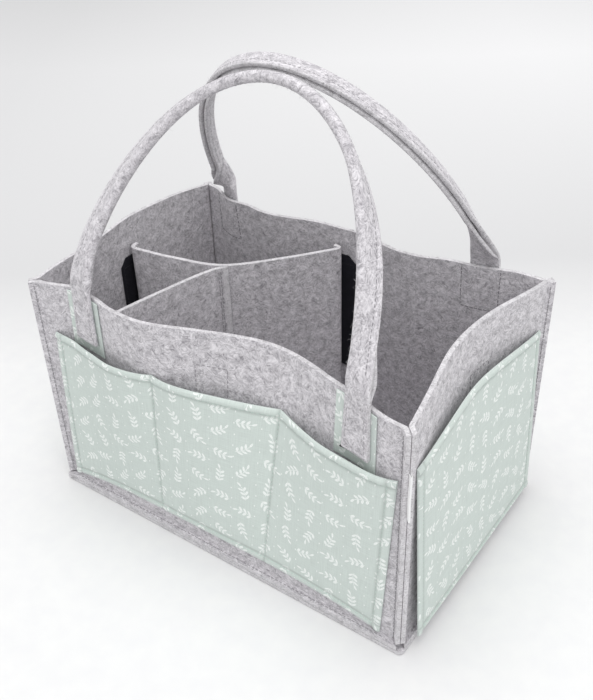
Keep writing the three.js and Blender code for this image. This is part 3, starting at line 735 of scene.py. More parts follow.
def pocket_face(side, s, z):
    """How far the pocket's face stands out, and how hard a seam presses the cloth there."""
    from_side, from_top, from_foot = side.pocket_half - abs(s), side.mouth(s) - z, z - side.foot(s)
    welt, pressed, pucker = 0.0, 0.0, 0.0
    for away, height in ((from_side, SIDE_WELT), (from_top, TOP_WELT), (from_foot, FOOT_WELT)):
        fold = height * np.clip(1 - ((away - HEM / 2) / (HEM / 2)) ** 2, 0, 1)
        welt = np.maximum(welt, fold)
        pressed = np.maximum(pressed, groove(away - HEM - BEHIND_HEM))
    for line in seam_lines(side)[1:-1]:
        away = abs(s - line)
        pucker = pucker + LINE_PUCKER * np.sin(z / 1.4 + line) * np.exp(-away / 3)
        pressed = np.maximum(pressed, groove(away))
    pucker = pucker + HEM_PUCKER * np.sin(s / 1.6) * np.exp(-abs(from_top - HEM) / 2.5)
    out = pocket_back(side, s, z) + COTTON + welt + pucker * (from_top > 0.5) - GROOVE * pressed
    return out, pressed


widest = max(side.gape for side in SIDES.values())
print(f"pockets: {sum(side.cells for side in SIDES.values())} cells, open by up to {widest} mm")

# %% [markdown]
# The grid of a pocket is close at its hems and seam lines, where the cloth is raised and pressed, and
# wider between them. How hard the cloth is pressed goes with each point, for the material's shadow.

# %% Pockets
HEM_STEP, ACROSS_STEP, UP_STEP, GRID_TALL = 0.9, 3.6, 4.0, 150


def dense_stops(low, high, marks, near, far):
    """Places from low to high, close together at the marks and wider between them."""
    steps = np.linspace(low, high, 4001)
    away = np.min([abs(steps - mark) for mark in marks], axis=0)
    pace = 1 / mix(near, far, smooth(away, 5, 16))
    gone = np.concatenate([[0], np.cumsum((pace[1:] + pace[:-1]) / 2 * np.diff(steps))])
    return np.interp(np.linspace(0, gone[-1], int(round(gone[-1])) + 1), gone, steps)


share_up = dense_stops(0, GRID_TALL, (0, GRID_TALL), HEM_STEP, UP_STEP) / GRID_TALL
for name, side in SIDES.items():
    half = side.pocket_half
    s, share = np.meshgrid(dense_stops(-half, half, seam_lines(side), HEM_STEP, ACROSS_STEP), share_up)
    z = mix(side.foot(s), side.mouth(s), share)
    out, pressed = pocket_face(side, s, z)
    along, flat = slanted(side, s, z), np.stack([s + 1000 + 400 * side.turn, z], -1)
    face, back = side.place(along, out, z), side.place(along, pocket_back(side, s, z), z)
    pocket = closed_sheet(f"{name}_pocket_cloth", face, back, flat, COTTON_LOOKS, edge=0.35)
    seams = pocket.data.attributes.new("pressed", "FLOAT", "POINT")
    seams.data.foreach_set("value", np.concatenate([pressed.ravel(), 0 * pressed.ravel()]))
    size = (2 * half, float(side.mouth(0)) - POCKET_FOOT)
    area = 2 * half * float(np.mean(side.mouth(s[0]) - side.foot(s[0])))
    nodes, rests_on = [f"{name}_pocket"], [f"{name}_wall_cloth"]
    finish_piece(pocket, "caddy", nodes)
    print(f"{name} pocket: {len(pocket.data.polygons)} faces, mouth {side.mouth(0):.0f} mm up")

# %% [markdown]
# Under each strap end lies a cotton patch of the pocket's cloth, a little wider than the strap, so it
# frames the strap with a narrow mint margin. Its lower end runs down into the pocket.

# %% Strap patches
PATCH_TUCK, PATCH_BELOW_RIM, PATCH_TALL = 6, 2, 48
PATCHES = {"front": {"wide": 36, "shift": -2}, "back": {"wide": 32, "shift": 0}}


def follow(side, at, widths, foot, top, inner, outer, across=15, up=24):
    """Grids of a flat piece that follows a wall, with its width at shares of its height."""
    share, cross = np.meshgrid(np.linspace(0, 1, up), np.linspace(-0.5, 0.5, across), indexing="ij")
    s = at + cross * np.interp(share, *widths)
    z = foot + (top(s) - foot) * share
    lean = side.inward(s, z)
    flat = np.stack([s + 2000 + 400 * side.turn, z], -1)
    return side.place(s, outer - lean, z), side.place(s, inner - lean, z), flat


def patch_top(s):
    return side.rim(s) - PATCH_BELOW_RIM


for name, patch_size in PATCHES.items():
    side, wide = SIDES[name], patch_size["wide"]
    for hand, leg in zip(("left", "right"), side.legs):
        at, foot = leg + patch_size["shift"], float(side.mouth(leg)) - PATCH_TUCK
        grids = follow(side, at, ((0, 1), (wide, wide)), foot, patch_top, LAY, LAY + COTTON)
        patch = closed_sheet(f"{name}_{hand}_patch_cloth", *grids, COTTON_LOOKS, edge=0.4)
        nodes, rests_on = [f"{name}_{hand}_strap_patch"], [f"{name}_wall_cloth"]
        finish_piece(patch, "caddy", nodes)
    print(f"{name} patches: {len(side.legs)}, {wide} mm wide")

# %% [markdown]
# A handle is one felt strip. Its ends are single and sewn flat on the wall. Above the rim it is folded
# lengthwise and stitched, so its section has two layers with a round fold on one edge and a slit at the
# open edge. The same points make both: fold 0 is the single layer, and fold 1 the two layers.

# %% Section of a handle
LEG_WIDTH, FOOT_WIDTH, GRIP_WIDTH = 22.0, 24.0, 16.0
FOLD_GAP, SLIT_DEEP, EDGE_SOFT, EDGE_NICK = 0.8, 9.0, 0.7, 0.2
GRIP_THICK = 2 * FELT + FOLD_GAP
OPEN_EDGE = {0, 1, *range(24, 31)}


def strap_section(width, fold):
    """The strip's section: x from the open edge to the fold, y from the back to the face."""
    half, outer = width / 2, GRIP_THICK / 2
    inner, parting = mix(outer - FELT, -outer, fold), mix(outer - FELT, 0.0, fold)
    gap, lip, slit = FOLD_GAP * fold, EDGE_SOFT * fold, mix(0.1 - half, SLIT_DEEP - half, fold)
    bow = (outer - inner) / 2
    left, soft, nick, turn = -half, EDGE_SOFT - half, EDGE_NICK - half, half - bow
    line = [(left, outer - EDGE_SOFT), (nick, outer - EDGE_NICK), (soft, outer)]
    line += [(mix(soft, turn, k / 5), outer) for k in range(1, 5)]
    for angle in np.linspace(QUARTER_TURN, -QUARTER_TURN, 11):
        line.append((turn + bow * math.cos(angle), mix(inner, outer, (math.sin(angle) + 1) / 2)))
    line += [(mix(turn, soft, k / 5), inner) for k in range(1, 5)]
    line += [(soft, inner), (nick, inner + EDGE_NICK * fold), (left, inner + lip)]
    line += [(left, parting - gap - lip), (lip - half, parting - gap), (slit, parting - gap * 0.2)]
    line += [(slit, parting + gap * 0.2), (lip - half, parting + gap), (left, parting + gap + lip)]
    return np.array(line)


print("handle section:", len(strap_section(GRIP_WIDTH, 1.0)), "points, folded", GRIP_THICK, "mm thick")

# %% [markdown]
# The strip's middle line rises from one strap end, leans in towards the middle of the caddy and comes
# down to the other. On its way it twists, by up to about 110 degrees, so that the grip lies flat in the
# hand. For each handle, grip is how far from the caddy's middle the grip hangs, knee how softly the strip
# bends in above the rim, skew its shift along the wall, twist its turn in degrees at the start and the
# end of the run, and turns the shares of the run in which it takes up that turn.

# %% Path of a handle
RISE, LEG_CLEAR, DRAWN_IN, STEP = 153.0, 2.0, 0.07, 1e-3


def leg_bottom(side):
    return max(float(side.rim(at)) for at in side.legs) + LEG_CLEAR + LAY


def leg_out(side, at):
    return STRAP_FACE - float(side.inward(at, leg_bottom(side))) - GRIP_THICK / 2


def leg_yaw(side, at):
    ends = side.inward(np.array([at - LEG_WIDTH / 2, at + LEG_WIDTH / 2]), leg_bottom(side))
    return float(ends[1] - ends[0]) / LEG_WIDTH


def handle_spine(side, run):
    """The middle point of the strip and the slope of its lean, at a share of the run."""
    left, right = side.legs
    grip, knee, skew = (side.handle[key] for key in ("grip", "knee", "skew"))
    share, up = (1 - math.cos(math.pi * run)) / 2, math.sin(math.pi * run)
    out = mix(leg_out(side, left), leg_out(side, right), share)
    lean, bend, full = side.reach + out - grip, math.hypot(up, knee), math.hypot(1, knee) - knee
    n = out - lean * (bend - knee) / full
    slope = lean * up / (RISE * full * bend)
    point = np.array([mix(left, right, share) + skew * up, -side.reach - n, leg_bottom(side) + RISE * up])
    return point, slope


def unit(v):
    return v / np.linalg.norm(v, axis=-1, keepdims=True)


def handle_frame(side, run):
    """Middle point, the way its face looks, the way to the fold and how far the strip is drawn in."""
    point, slope = handle_spine(side, run)
    along = unit(handle_spine(side, min(1, run + STEP))[0] - handle_spine(side, max(0, run - STEP))[0])
    drawn = float(smooth(min(run, 1 - run), 0, DRAWN_IN))
    yaw = leg_yaw(side, side.legs[0 if run < 0.5 else 1]) * (1 - drawn)
    outside = np.array([yaw, -1.0, slope])
    outside = unit(outside - along * (outside @ along))
    first, last = side.handle["turns"]
    turned = min(1, run / first, (1 - run) / last)
    twist = math.radians(mix(*side.handle["twist"], run)) * turned
    facing = outside * math.cos(twist) + np.cross(outside, along) * math.sin(twist)
    return point, facing, np.cross(along, facing), drawn


for name in ("front", "back"):
    print(f"{name} handle: middle of the grip {handle_spine(SIDES[name], 0.5)[0][2]:.0f} mm up")

# %% [markdown]
# One loft follows the strip from end to end, as rings of the section. A curve with a bevel could make the
# arch, but not a strip that changes from one layer to two. The ends lie along the wall's waves, and just
# above the rim each ring goes over from the wall to the free path while the strip folds.

# %% Rings of a handle
STRAP_SHOWS, END_RINGS, ARCH_STEPS, ENDS_CLOSER = 5.0, 18, 191, 0.35
FOLDS_OVER, LEAVES_WALL = (0.5, 11.0), (-1.0, 13.0)


def to_world(side, points):
    """Turn points from a side's own frame into the caddy's."""
    cos, sin = math.cos(side.turn), math.sin(side.turn)
    return np.asarray(points) @ np.array([[cos, sin, 0], [-sin, cos, 0], [0, 0, 1]])


def on_wall(side, hand, section, z):
    """A section laid along the wall's waves at height z."""
    at, way = side.legs[hand], (1, -1)[hand]
    s = at + way * section[:, 0]
    n = STRAP_FACE - GRIP_THICK / 2 + section[:, 1] - side.inward(s, z)
    return np.column_stack([s, -side.reach - n, np.full(len(s), z)])


def strap_end(side, hand):
    """The rings of a strap end from its foot up, the first one pressed flat to close it."""
    bottom, foot = leg_bottom(side), HEIGHT - side.drop + STRAP_SHOWS
    rings = []
    for z in np.linspace(foot, bottom, END_RINGS):
        width = mix(FOOT_WIDTH, LEG_WIDTH, (z - foot) / (bottom - foot))
        rings.append(on_wall(side, hand, strap_section(width, 0.0), z))
    closed = rings[0].copy()
    closed[:, 1] = np.median(closed[:, 1])
    return [closed] + rings


def handle_rings(side):
    even = np.linspace(0, 1, ARCH_STEPS)[1:-1]
    closer = (1 - np.cos(even * math.pi)) / 2
    arch = []
    for run in mix(even, closer, ENDS_CLOSER):
        point, facing, fold, drawn = handle_frame(side, run)
        z, above = point[2], point[2] - leg_bottom(side)
        section = strap_section(mix(LEG_WIDTH, GRIP_WIDTH, drawn), float(smooth(above, *FOLDS_OVER)))
        free = point + section[:, :1] * fold + section[:, 1:] * facing
        held = on_wall(side, 0 if run < 0.5 else 1, section, z)
        arch.append(mix(held, free, float(smooth(above, *LEAVES_WALL))))
    return np.array(strap_end(side, 0) + arch + strap_end(side, 1)[::-1])


handle_skins = {name: to_world(SIDES[name], handle_rings(SIDES[name])) for name in ("front", "back")}
print("rings of the handles:", [len(rings) for rings in handle_skins.values()])

# %% [markdown]
# The rings are joined into one skin, with the look of the cut edge in the slit, along the open edge and
# at both ends.

# %% Handles
BLEND_FROM, BLEND_TO, BLEND_OUT, STRIP_CUT = 199, 214, 3, 36
for name, rings in handle_skins.items():
    side, count = SIDES[name], rings.shape[1]
    number = np.arange(rings.shape[0] * count).reshape(-1, count)
    after = np.roll(number, -1, axis=1)
    quads = np.stack([number[:-1], after[:-1], after[1:], number[1:]], -1)
    cut = np.isin(np.arange(count), list(OPEN_EDGE))
    look_of = np.broadcast_to(cut, quads.shape[:2]).astype(int).copy()
    look_of[0], look_of[-1] = 1, 1
    gone, girth = lengths(rings.mean(axis=1)), lengths(strap_section(LEG_WIDTH, 1.0))
    flat = np.stack(np.broadcast_arrays(gone[:, None], girth[None, :]), -1).reshape(-1, 2) + 3000
    points, faces = rings.reshape(-1, 3), quads.reshape(-1, 4).tolist()
    handle = make_object(f"{name}_handle_cloth", points, faces, FELT_LOOKS, look_of.ravel(), flat)
    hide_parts(f"{name}_handle", f"{name}_left_strap_end", f"{name}_right_strap_end")
    wall_y = float(side.outward[1]) * (side.reach + BLEND_OUT) * MM
    low, high = (0, wall_y, BLEND_FROM * MM), (0, wall_y, BLEND_TO * MM)
    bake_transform(handle)
    size = (STRIP_CUT * MM, gone[-1] * MM)
    print(f"{name} handle: strip {gone[-1]:.0f} mm long, top {rings[:, :, 2].max():.0f} mm up")

# %% [markdown]
# The divider is Y-shaped. A long felt panel runs from the left wall to the back wall and ends in a flap
# at each, pressed on the hook tape, and a shorter arm is lapped on it and reaches the front wall. Both
# are drawn as a path in plan. These helpers draw a smooth curve through points, walk along it in even
# steps and stand a felt panel on it, with a slight wave because felt never hangs true.

# %% Panels on a path
DIVIDER_TOP, PANEL_ROWS, PANEL_STEP = HEIGHT - 12, 44, 3.0
PANEL_WAVE, STILL_ENDS, SLANT_OVER = 0.5, (26, 60), 9


def spline_at(points, t):
    """A smooth curve through points, at t from 0 to 1, and its direction there."""
    place = t * (len(points) - 1)
    k = min(int(place), len(points) - 2)
    u = place - k
    p0, p1, p2 = points[max(k - 1, 0)], points[k], points[k + 1]
    p3 = points[min(k + 2, len(points) - 1)]
    v0, v1 = (p2 - p0) / 2, (p3 - p1) / 2
    a, b = 2 * p1 - 2 * p2 + v0 + v1, -3 * p1 + 3 * p2 - 2 * v0 - v1
    return a * u**3 + b * u**2 + v0 * u + p1, 3 * a * u**2 + 2 * b * u + v0


def spline(points, count=400):
    return np.array([spline_at(points, t)[0] for t in np.linspace(0, 1, count)])


def at_length(line, gone, where):
    """The point or points of a line at given lengths along it."""
    return np.stack([np.interp(where, gone, column) for column in line.T], -1)


def curve(a, b, c):
    t = np.linspace(0, 1, 30)[:, None]
    return a * (1 - t) ** 2 + 2 * b * t * (1 - t) + c * t**2


def rightwards(v):
    return unit(np.stack([v[..., 1], -v[..., 0]], -1))


def upright(name, line, seed, slant=0.0):
    """A felt panel stood on a path in plan, with the cut at its last end slanted by a length."""
    gone = lengths(line)
    middle = at_length(line, gone, np.linspace(0, gone[-1], round(gone[-1] / PANEL_STEP) + 1))
    normal, along = rightwards(np.gradient(middle, axis=0)), lengths(middle)
    ahead = np.stack([-normal[:, 1], normal[:, 0]], -1)
    a, z = np.meshgrid(along, np.linspace(FELT + LAY, DIVIDER_TOP, PANEL_ROWS))
    loose = smooth(np.minimum(a, along[-1] - a), *STILL_ENDS)
    wave = PANEL_WAVE * np.sin(a / 17 + z / 31 + seed) * np.sin(z / 23 + seed) * loose
    grids = []
    for shift, cut in ((HALF_FELT, slant), (-HALF_FELT, 0.0)):
        plan = middle[None] + normal[None] * (shift + wave)[..., None]
        plan = plan - ahead[None] * (cut * smooth(a, along[-1] - SLANT_OVER, along[-1]))[..., None]
        grids.append(np.concatenate([plan, z[..., None]], -1))
    flat = np.stack([a + 4000 + 500 * seed, z], -1)
    sheet = closed_sheet(name, *grids, flat, [felt_look, pale_cut_and_highlight])
    return sheet, middle, normal, along


# %% [markdown]
# The divider's ends must clear the walls at their deepest wave, so each end is set back by the layers
# that lie there and by that depth. The long panel turns into its flaps in a short bend.

# %% Divider
FLAP, LAP, SAG, LAP_GAP, LAP_SLANT, FRONT_GAP = 9.0, 5.0, 3.0, 0.4, 4.5, 1.0
CENTRE, LEFT_Y, BACK_X, FRONT_X = np.array([-71.0, 8.5]), -9.0, -5.0, -94.0


def deepest(name, low, high):
    s = np.linspace(low, high, 13)
    return max(0.0, float(SIDES[name].inward(s, SIDES[name].rim(s)).max()))


stack = FELT + LAY + TAPE + LAY + HALF_FELT
start = np.array([-SIDE_HALF + stack + deepest("left_end", -LEFT_Y - FLAP, -LEFT_Y), LEFT_Y])
end = np.array([BACK_X, END_HALF - stack - deepest("back", -BACK_X, -BACK_X + FLAP)])
knots = [start, (start + CENTRE) / 2, CENTRE, (CENTRE + end) / 2, end]
knots[1] = knots[1] + rightwards(CENTRE - start) * SAG
knots[3] = knots[3] + rightwards(end - CENTRE) * SAG
arms, turn = spline(knots), 2 * BEND
gone = lengths(arms)
first, last = at_length(arms, gone, np.array([turn, gone[-1] - turn]))
long_line = np.concatenate([
    [start + [0, FLAP]],
    curve(start + [0, turn], start, first),
    spline([first, *knots[1:4], last])[1:-1],
    curve(last, end, end - [turn, 0]),
    [end - [FLAP, 0]],
])
long_panel, _, _, long_along = upright("divider_long_cloth", long_line, 1)
laps = []
for t in (0.5, 0.5 + LAP / gone[-1]):
    point, way = spline_at(knots, t)
    laps.append(point + rightwards(way) * (FELT + LAY + LAP_GAP))
front_deep = deepest("front", FRONT_X - FELT, FRONT_X + FELT)
front_foot = np.array([FRONT_X, -END_HALF + FELT + front_deep + FRONT_GAP])
bend_at = laps[0] - 2 * LAP * unit(spline_at(knots, 0.5)[1])
arm_line = np.concatenate([curve(front_foot, bend_at, laps[0]), [laps[1]]])
front_arm, arm_middle, arm_normal, arm_along = upright("divider_arm_cloth", arm_line, 2, LAP_SLANT)
panels = {"divider_long_panel": (long_panel, long_along), "divider_front_arm": (front_arm, arm_along)}
for node, (panel, along) in panels.items():
    finish_piece(panel, "divider", [node])
    print(f"{panel.name}: {along[-1]:.0f} mm long")

# %% [markdown]
# Strips of hook tape inside the walls hold the divider's flaps. Their upper corners are clipped, which
# keeps them from peeling.

# %% Hook tapes
TAPE_FOOT, TAPE_TOP, TAPE_WIDE, TAPE_CLIP = 60.0, HEIGHT - 22, 28, 7
TAPE_LAYERS = (-FELT - LAY, -FELT - LAY - TAPE)
tape_tall = TAPE_TOP - TAPE_FOOT
widths = ((0, 1 - TAPE_CLIP / tape_tall, 1), (TAPE_WIDE, TAPE_WIDE, TAPE_WIDE / 2))


def tape_end(s):
    return TAPE_TOP + 0 * s


for name, side in SIDES.items():
    grids = follow(side, side.tape_at, widths, TAPE_FOOT, tape_end, *TAPE_LAYERS, across=13, up=69)
    tape = closed_sheet(f"{name}_hook_tape_cloth", *grids, [tape_look, tape_look], edge=0.25)
    nodes, rests_on = [f"{name}_hook_tape"], [f"{name}_wall_cloth"]
    finish_piece(tape, "caddy", nodes)
print("tapes:", len(SIDES), "of", TAPE_WIDE, "x", tape_tall, "mm")

# %% [markdown]
# The tag is a short loop of ribbon, caught between the two flanges of the front right corner seam. Its
# plan runs out to the tip, round it and back, once for each face of the ribbon.

# %% Seam tag
TAG_FOOT, TAG_TOP, TAG_OUT, TAG_HOLLOW, TAG_WAVE = 132, 170, 3.8, 0.25, 0.12
DIAGONAL = math.sqrt(0.5)
begin = SEAM - (LAY + FELT) / 2 + LAY
tip = begin + TAG_OUT - TAG_HOLLOW - RIBBON


def ribbon_plan(radius):
    angles = np.linspace(-QUARTER_TURN, QUARTER_TURN, 13)
    bow = [(tip + radius * math.cos(angle), radius * math.sin(angle)) for angle in angles]
    out = [(x, -radius) for x in np.linspace(begin, tip, 6)[:-1]]
    home = [(x, radius) for x in np.linspace(tip, begin, 6)[1:]]
    return np.array(out + bow + home)


grids, up = [], np.linspace(TAG_FOOT, TAG_TOP, 20)
for radius in (TAG_HOLLOW + RIBBON, TAG_HOLLOW):
    plan = ribbon_plan(radius)
    x, z = np.meshgrid(plan[:, 0], up)
    y = np.broadcast_to(plan[:, 1], x.shape) + TAG_WAVE * np.sin(z / 5)
    grids.append(np.stack([SIDE_HALF + DIAGONAL * (x + y), -END_HALF + DIAGONAL * (y - x), z], -1))
flat = np.stack(np.meshgrid(np.arange(len(plan)) * 0.5, up), -1)
tag = closed_sheet("seam_tag_cloth", *grids, flat, [ribbon_look, ribbon_look], edge=0.1)
finish_piece(tag, "caddy", ["seam_tag"])
print("tag:", len(tag.data.polygons), "faces")

# %% [markdown]
# Stitching is modelled as thread, because a sewn edge is read by its stitches. A dashed line in the
# material would be lighter, but it would neither catch the light nor sink into the cloth. Each stitch is
# a short tube that dives in at both ends. A run is a row of points with the way out of the cloth, and
# all the runs of one seam group make one object.

# %% How a stitch is made
STITCH_PLACES = np.array([0, 0.16, 0.5, 0.84, 1.0])
STITCH_LIFTS = np.array([-0.7, 0.1, 0.28, 0.1, -0.7])
STITCH_CORNERS = (np.arange(6) * 2 * math.pi / 6)[:, None]


def tubes_object(name, tubes, look, body):
    """One mesh of many short tubes, each given as rings of points."""
    number = np.arange(tubes[..., 0].size).reshape(tubes.shape[:3])
    after = np.roll(number, -1, axis=2)
    quads = np.stack([number[:, :-1], after[:, :-1], after[:, 1:], number[:, 1:]], -1).reshape(-1, 4)
    points = tubes.reshape(-1, 3)
    obj = make_object(name, points, quads.tolist(), [look], [0] * len(quads), points[:, :2])
    finish_piece(obj, body)


def sew(name, runs, look, slot, body="caddy", stitch=2.9, gap=0.9, thick=0.62):
    tubes = []
    for line, out in runs:
        line = np.asarray(line, float)
        out = np.broadcast_to(np.asarray(out, float), line.shape)
        far = lengths(line)
        number = max(1, int(far[-1] // (stitch + gap)))
        begin = (np.arange(number) + 0.5) * far[-1] / number - stitch / 2
        where = begin[:, None] + stitch * STITCH_PLACES
        middle, away = at_length(line, far, where), unit(at_length(out, far, where))
        across = unit(np.cross(np.gradient(middle, axis=1), away))
        middle = middle + away * (thick * STITCH_LIFTS)[:, None]
        ring = np.cos(STITCH_CORNERS) * across[:, :, None] + np.sin(STITCH_CORNERS) * away[:, :, None]
        tubes.append(middle[:, :, None] + thick / 2 * ring)
    tubes = np.concatenate(tubes)
    tubes_object(name, tubes, look, body)
    print(f"{name}: {len(tubes)} stitches")


print("a stitch has", len(STITCH_PLACES), "rings of", len(STITCH_CORNERS), "points")

# %% [markdown]
# Each pocket is topstitched along its hems and its seam lines in mint thread. Each tape is sewn round
# through the wall, so its stitches show in black inside and as a grey rectangle outside.

# %% Pocket and tape stitching
TAPE_SEAM, TAPE_EDGE, TAPE_UNDER = 12, 3, 8


def on_pocket(side, s, z):
    return side.place(slanted(side, s, z), pocket_face(side, s, z)[0], z), side.outward


def on_face(side, s, z, out=0.0):
    return side.place(s, out - side.inward(s, z), z), side.outward


def on_inside(side, s, z, out=0.0):
    return side.place(s, -FELT - out - side.inward(s, z), z), -side.outward


def box_run(lay, side, at, low, high, half, top_half=None, out=0.0):
    """The left, right, lower and upper run of a stitched box, its upper end as wide as given."""
    top_half = half if top_half is None else top_half
    up, across = np.linspace(low, high, 30), np.linspace(0, 1, 20)
    share = (up - low) / (high - low)
    return [
        lay(side, at + mix(-half, -top_half, share), up, out),
        lay(side, at + mix(half, top_half, share), up, out),
        lay(side, at + mix(-half, half, across), np.full(20, low), out),
        lay(side, at + mix(-top_half, top_half, across), np.full(20, high), out),
    ]


for name, side in SIDES.items():
    inner = side.pocket_half - HEM
    s = np.linspace(-inner, inner, 160)
    runs = [on_pocket(side, s, side.mouth(s) - HEM), on_pocket(side, s, side.foot(s) + HEM - 1)]
    for line in np.clip(seam_lines(side), -inner, inner):
        below_mouth = HEM if abs(line) > side.pocket_half - 9 else 1
        z = np.linspace(float(side.foot(line)) + HEM, float(side.mouth(line)) - below_mouth, 80)
        runs.append(on_pocket(side, np.full_like(z, line), z))
    sew(f"{name}_pocket_thread", runs, mint_thread, "cotton")
    low, at = TAPE_FOOT + TAPE_EDGE, side.tape_at
    runs = box_run(on_face, side, at, low, TAPE_TOP - TAPE_EDGE, TAPE_SEAM)
    sew(f"{name}_tape_thread_outside", runs, grey_thread, "felt")
    runs = box_run(on_inside, side, at, low, TAPE_TOP - TAPE_UNDER, TAPE_SEAM, out=LAY + TAPE)
    sew(f"{name}_tape_thread_inside", runs, black_thread, "hook_tape")

# %% [markdown]
# The strap ends are sewn down with a box of stitches, and the patches with a wider one whose sides and
# foot show inside the caddy. The handle's own topstitch runs close to its open edge on both faces. It is
# left out near the hinge, where the felt bends, so all of it moves with the handle.

# %% Strap and handle stitching
STRAP_SEAM, STRAP_SEAM_TOP, STRAP_INSET, BELOW_RIM = 8.8, 7.8, 4, 5
PATCH_SEAM, PATCH_SEWN, SUNK, FROM_EDGE, FREE_FROM = 14.6, 37.0, 0.3, 4.6, 15
CLOSE = {"stitch": 3.3, "gap": 0.4}
for name in ("front", "back"):
    side = SIDES[name]
    low, high = HEIGHT - side.drop + STRAP_SHOWS + STRAP_INSET, HEIGHT - BELOW_RIM
    outside, inside = [], []
    for at in side.legs:
        outside += box_run(on_face, side, at, low, high, STRAP_SEAM, STRAP_SEAM_TOP, STRAP_FACE)
        inside += box_run(on_inside, side, at, HEIGHT - PATCH_SEWN, HEIGHT - 1, PATCH_SEAM)[:3]
    sew(f"{name}_strap_thread", outside, pale_thread, "felt")
    # The inside stitches use the darker thread, whose colour partly paints the shade of their groove.
    sew(f"{name}_strap_thread_inside", inside, dark_thread_and_shade, "felt", **CLOSE)
    top_line, under_line, ways = [], [], []
    for run in np.linspace(0, 1, 260):
        point, facing, fold, drawn = handle_frame(side, run)
        if point[2] < leg_bottom(side) + FREE_FROM:
            continue
        edge = point + fold * (FROM_EDGE - mix(LEG_WIDTH, GRIP_WIDTH, drawn) / 2)
        top_line.append(edge + facing * (GRIP_THICK / 2 - SUNK))
        under_line.append(edge - facing * (GRIP_THICK / 2 - SUNK))
        ways.append(facing)
    ways = to_world(side, ways)
    runs = [(to_world(side, top_line), ways), (to_world(side, under_line), -ways)]
    sew(f"{name}_handle_thread", runs, dark_thread_and_shade, "felt", f"{name}_handle", **CLOSE)

# %% [markdown]
# The seams that hold the basket together: one line up each corner flange, one line round the foot and
# two lines down the divider's lap.

# %% Corner, foot and divider stitching
FLANGE_OUT, FLANGE_SHIFT, FOOT_SEAM, FOOT_INSET, LAP_SEAMS = 1.0, 0.6, 2.4, 12, (6.6, 8.6)
corner_runs, foot_runs, lap_runs = [], [], []
for side in SIDES.values():
    s = side.half - DIAGONAL * (LAY + 2 * FELT) + FLANGE_OUT + FLANGE_SHIFT
    z = np.linspace(WALL_START + 2, HEIGHT - 3, 80)
    for way in (-1, 1):
        line = side.place(way * s, FLANGE_OUT + HALF_FELT * DIAGONAL, z)
        flange_face = side.place(way * -DIAGONAL, DIAGONAL - side.reach, 0.0)
        corner_runs.append((line, flange_face))
    s = np.linspace(FOOT_INSET - side.half, side.half - FOOT_INSET, 120)
    line = side.place(s, SEAM - FOOT_SEAM, FOOT_MIDDLE + HALF_FELT)
    foot_runs.append((line, (0, 0, 1)))
for inset in LAP_SEAMS:
    at = arm_along[-1] - inset
    point, normal = at_length(arm_middle, arm_along, at), at_length(arm_normal, arm_along, at)
    z = np.linspace(FELT + 4, HEIGHT - 15, 80)
    line = np.column_stack([np.tile(point + normal * HALF_FELT, (len(z), 1)), z])
    lap_runs.append((line, (*normal, 0)))
sew("foot_thread", foot_runs, grey_thread, "felt")
sew("corner_thread", corner_runs, grey_thread, "felt")
sew("divider_lap_thread", lap_runs, grey_thread, "felt", "divider")

# %% [markdown]
# Felt sheds: single fibres stand off its cut edges and soften its outline. Hair could make them, but an
# exported model keeps only meshes, so each fibre is a thin bent tube that tapers to its tip. They grow
# at random places on the walls' top edges, clear of the straps, and all over the handles.

# %% Loose fibres
fibre_look = thread_material("loose_felt_fibre", (232, 230, 233), (186, 184, 188))
FIBRE_THICK, FIBRE_TAPER, FIBRE_LENGTHS, FIBRE_BEND, FIBRE_STRAY = 0.15, 0.75, (1.0, 3.2), 0.5, 0.6
RIM_FIBRES, HANDLE_FIBRES, STRAP_CLEAR, ROOT_INSET, ROOT_SUNK = 0.45, 520, 18.0, 0.2, 0.1
chance = np.random.default_rng(7)


def shed(name, roots, outward, body):
    """Loose fibres that stand off the felt at the roots, each bent its own way."""
    count = len(roots)
    way = unit(outward + FIBRE_STRAY * chance.normal(size=(count, 3)))
    across = unit(np.cross(way, chance.normal(size=(count, 3))))
    bend = np.cross(across, way)
    long = chance.uniform(*FIBRE_LENGTHS, (count, 1, 1))
    share = np.linspace(0, 1, 5)[:, None]
    middle = roots[:, None] + long * (share * way[:, None] + FIBRE_BEND * share**2 * bend[:, None])
    corner = np.radians([0, 120, 240])[:, None]
    ring = np.cos(corner) * across[:, None] + np.sin(corner) * bend[:, None]
    radius = FIBRE_THICK / 2 * (1 - FIBRE_TAPER * share[..., None])
    tubes_object(name, middle[:, :, None] + radius * ring[:, None], fibre_look, body)
    print(f"{name}: {count} fibres")


roots = []
for side in SIDES.values():
    s = chance.uniform(-side.half, side.half, int(RIM_FIBRES * 2 * side.half))
    for at in side.legs:
        s = s[abs(s - at) > STRAP_CLEAR]
    depth = chance.uniform(ROOT_INSET, FELT - ROOT_INSET, len(s))
    z = side.rim(s)
    roots.append(side.place(s, -depth - side.inward(s, z), z - ROOT_SUNK))
roots = np.concatenate(roots)
shed("rim_fibres", roots, np.broadcast_to((0.0, 0.0, 1.0), roots.shape), "caddy")
outside = min(OPEN_EDGE - {0, 1})
for name, rings in handle_skins.items():
    free = rings[rings[:, :, 2].min(axis=1) > leg_bottom(SIDES[name]) + FREE_FROM]
    pick = chance.integers(len(free), size=HANDLE_FIBRES), chance.integers(outside, size=HANDLE_FIBRES)
    outward = free[pick] - free.mean(axis=1)[pick[0]]
    shed(f"{name}_handle_fibres", free[pick], unit(outward), f"{name}_handle")

# %% [markdown]
# The picture is taken the way the photograph was, from above the front right corner. The floor is a flat
# sheet of pale paper, and painted shade in its colour makes it greyer behind the caddy and, far off,
# darker to the left than to the right.

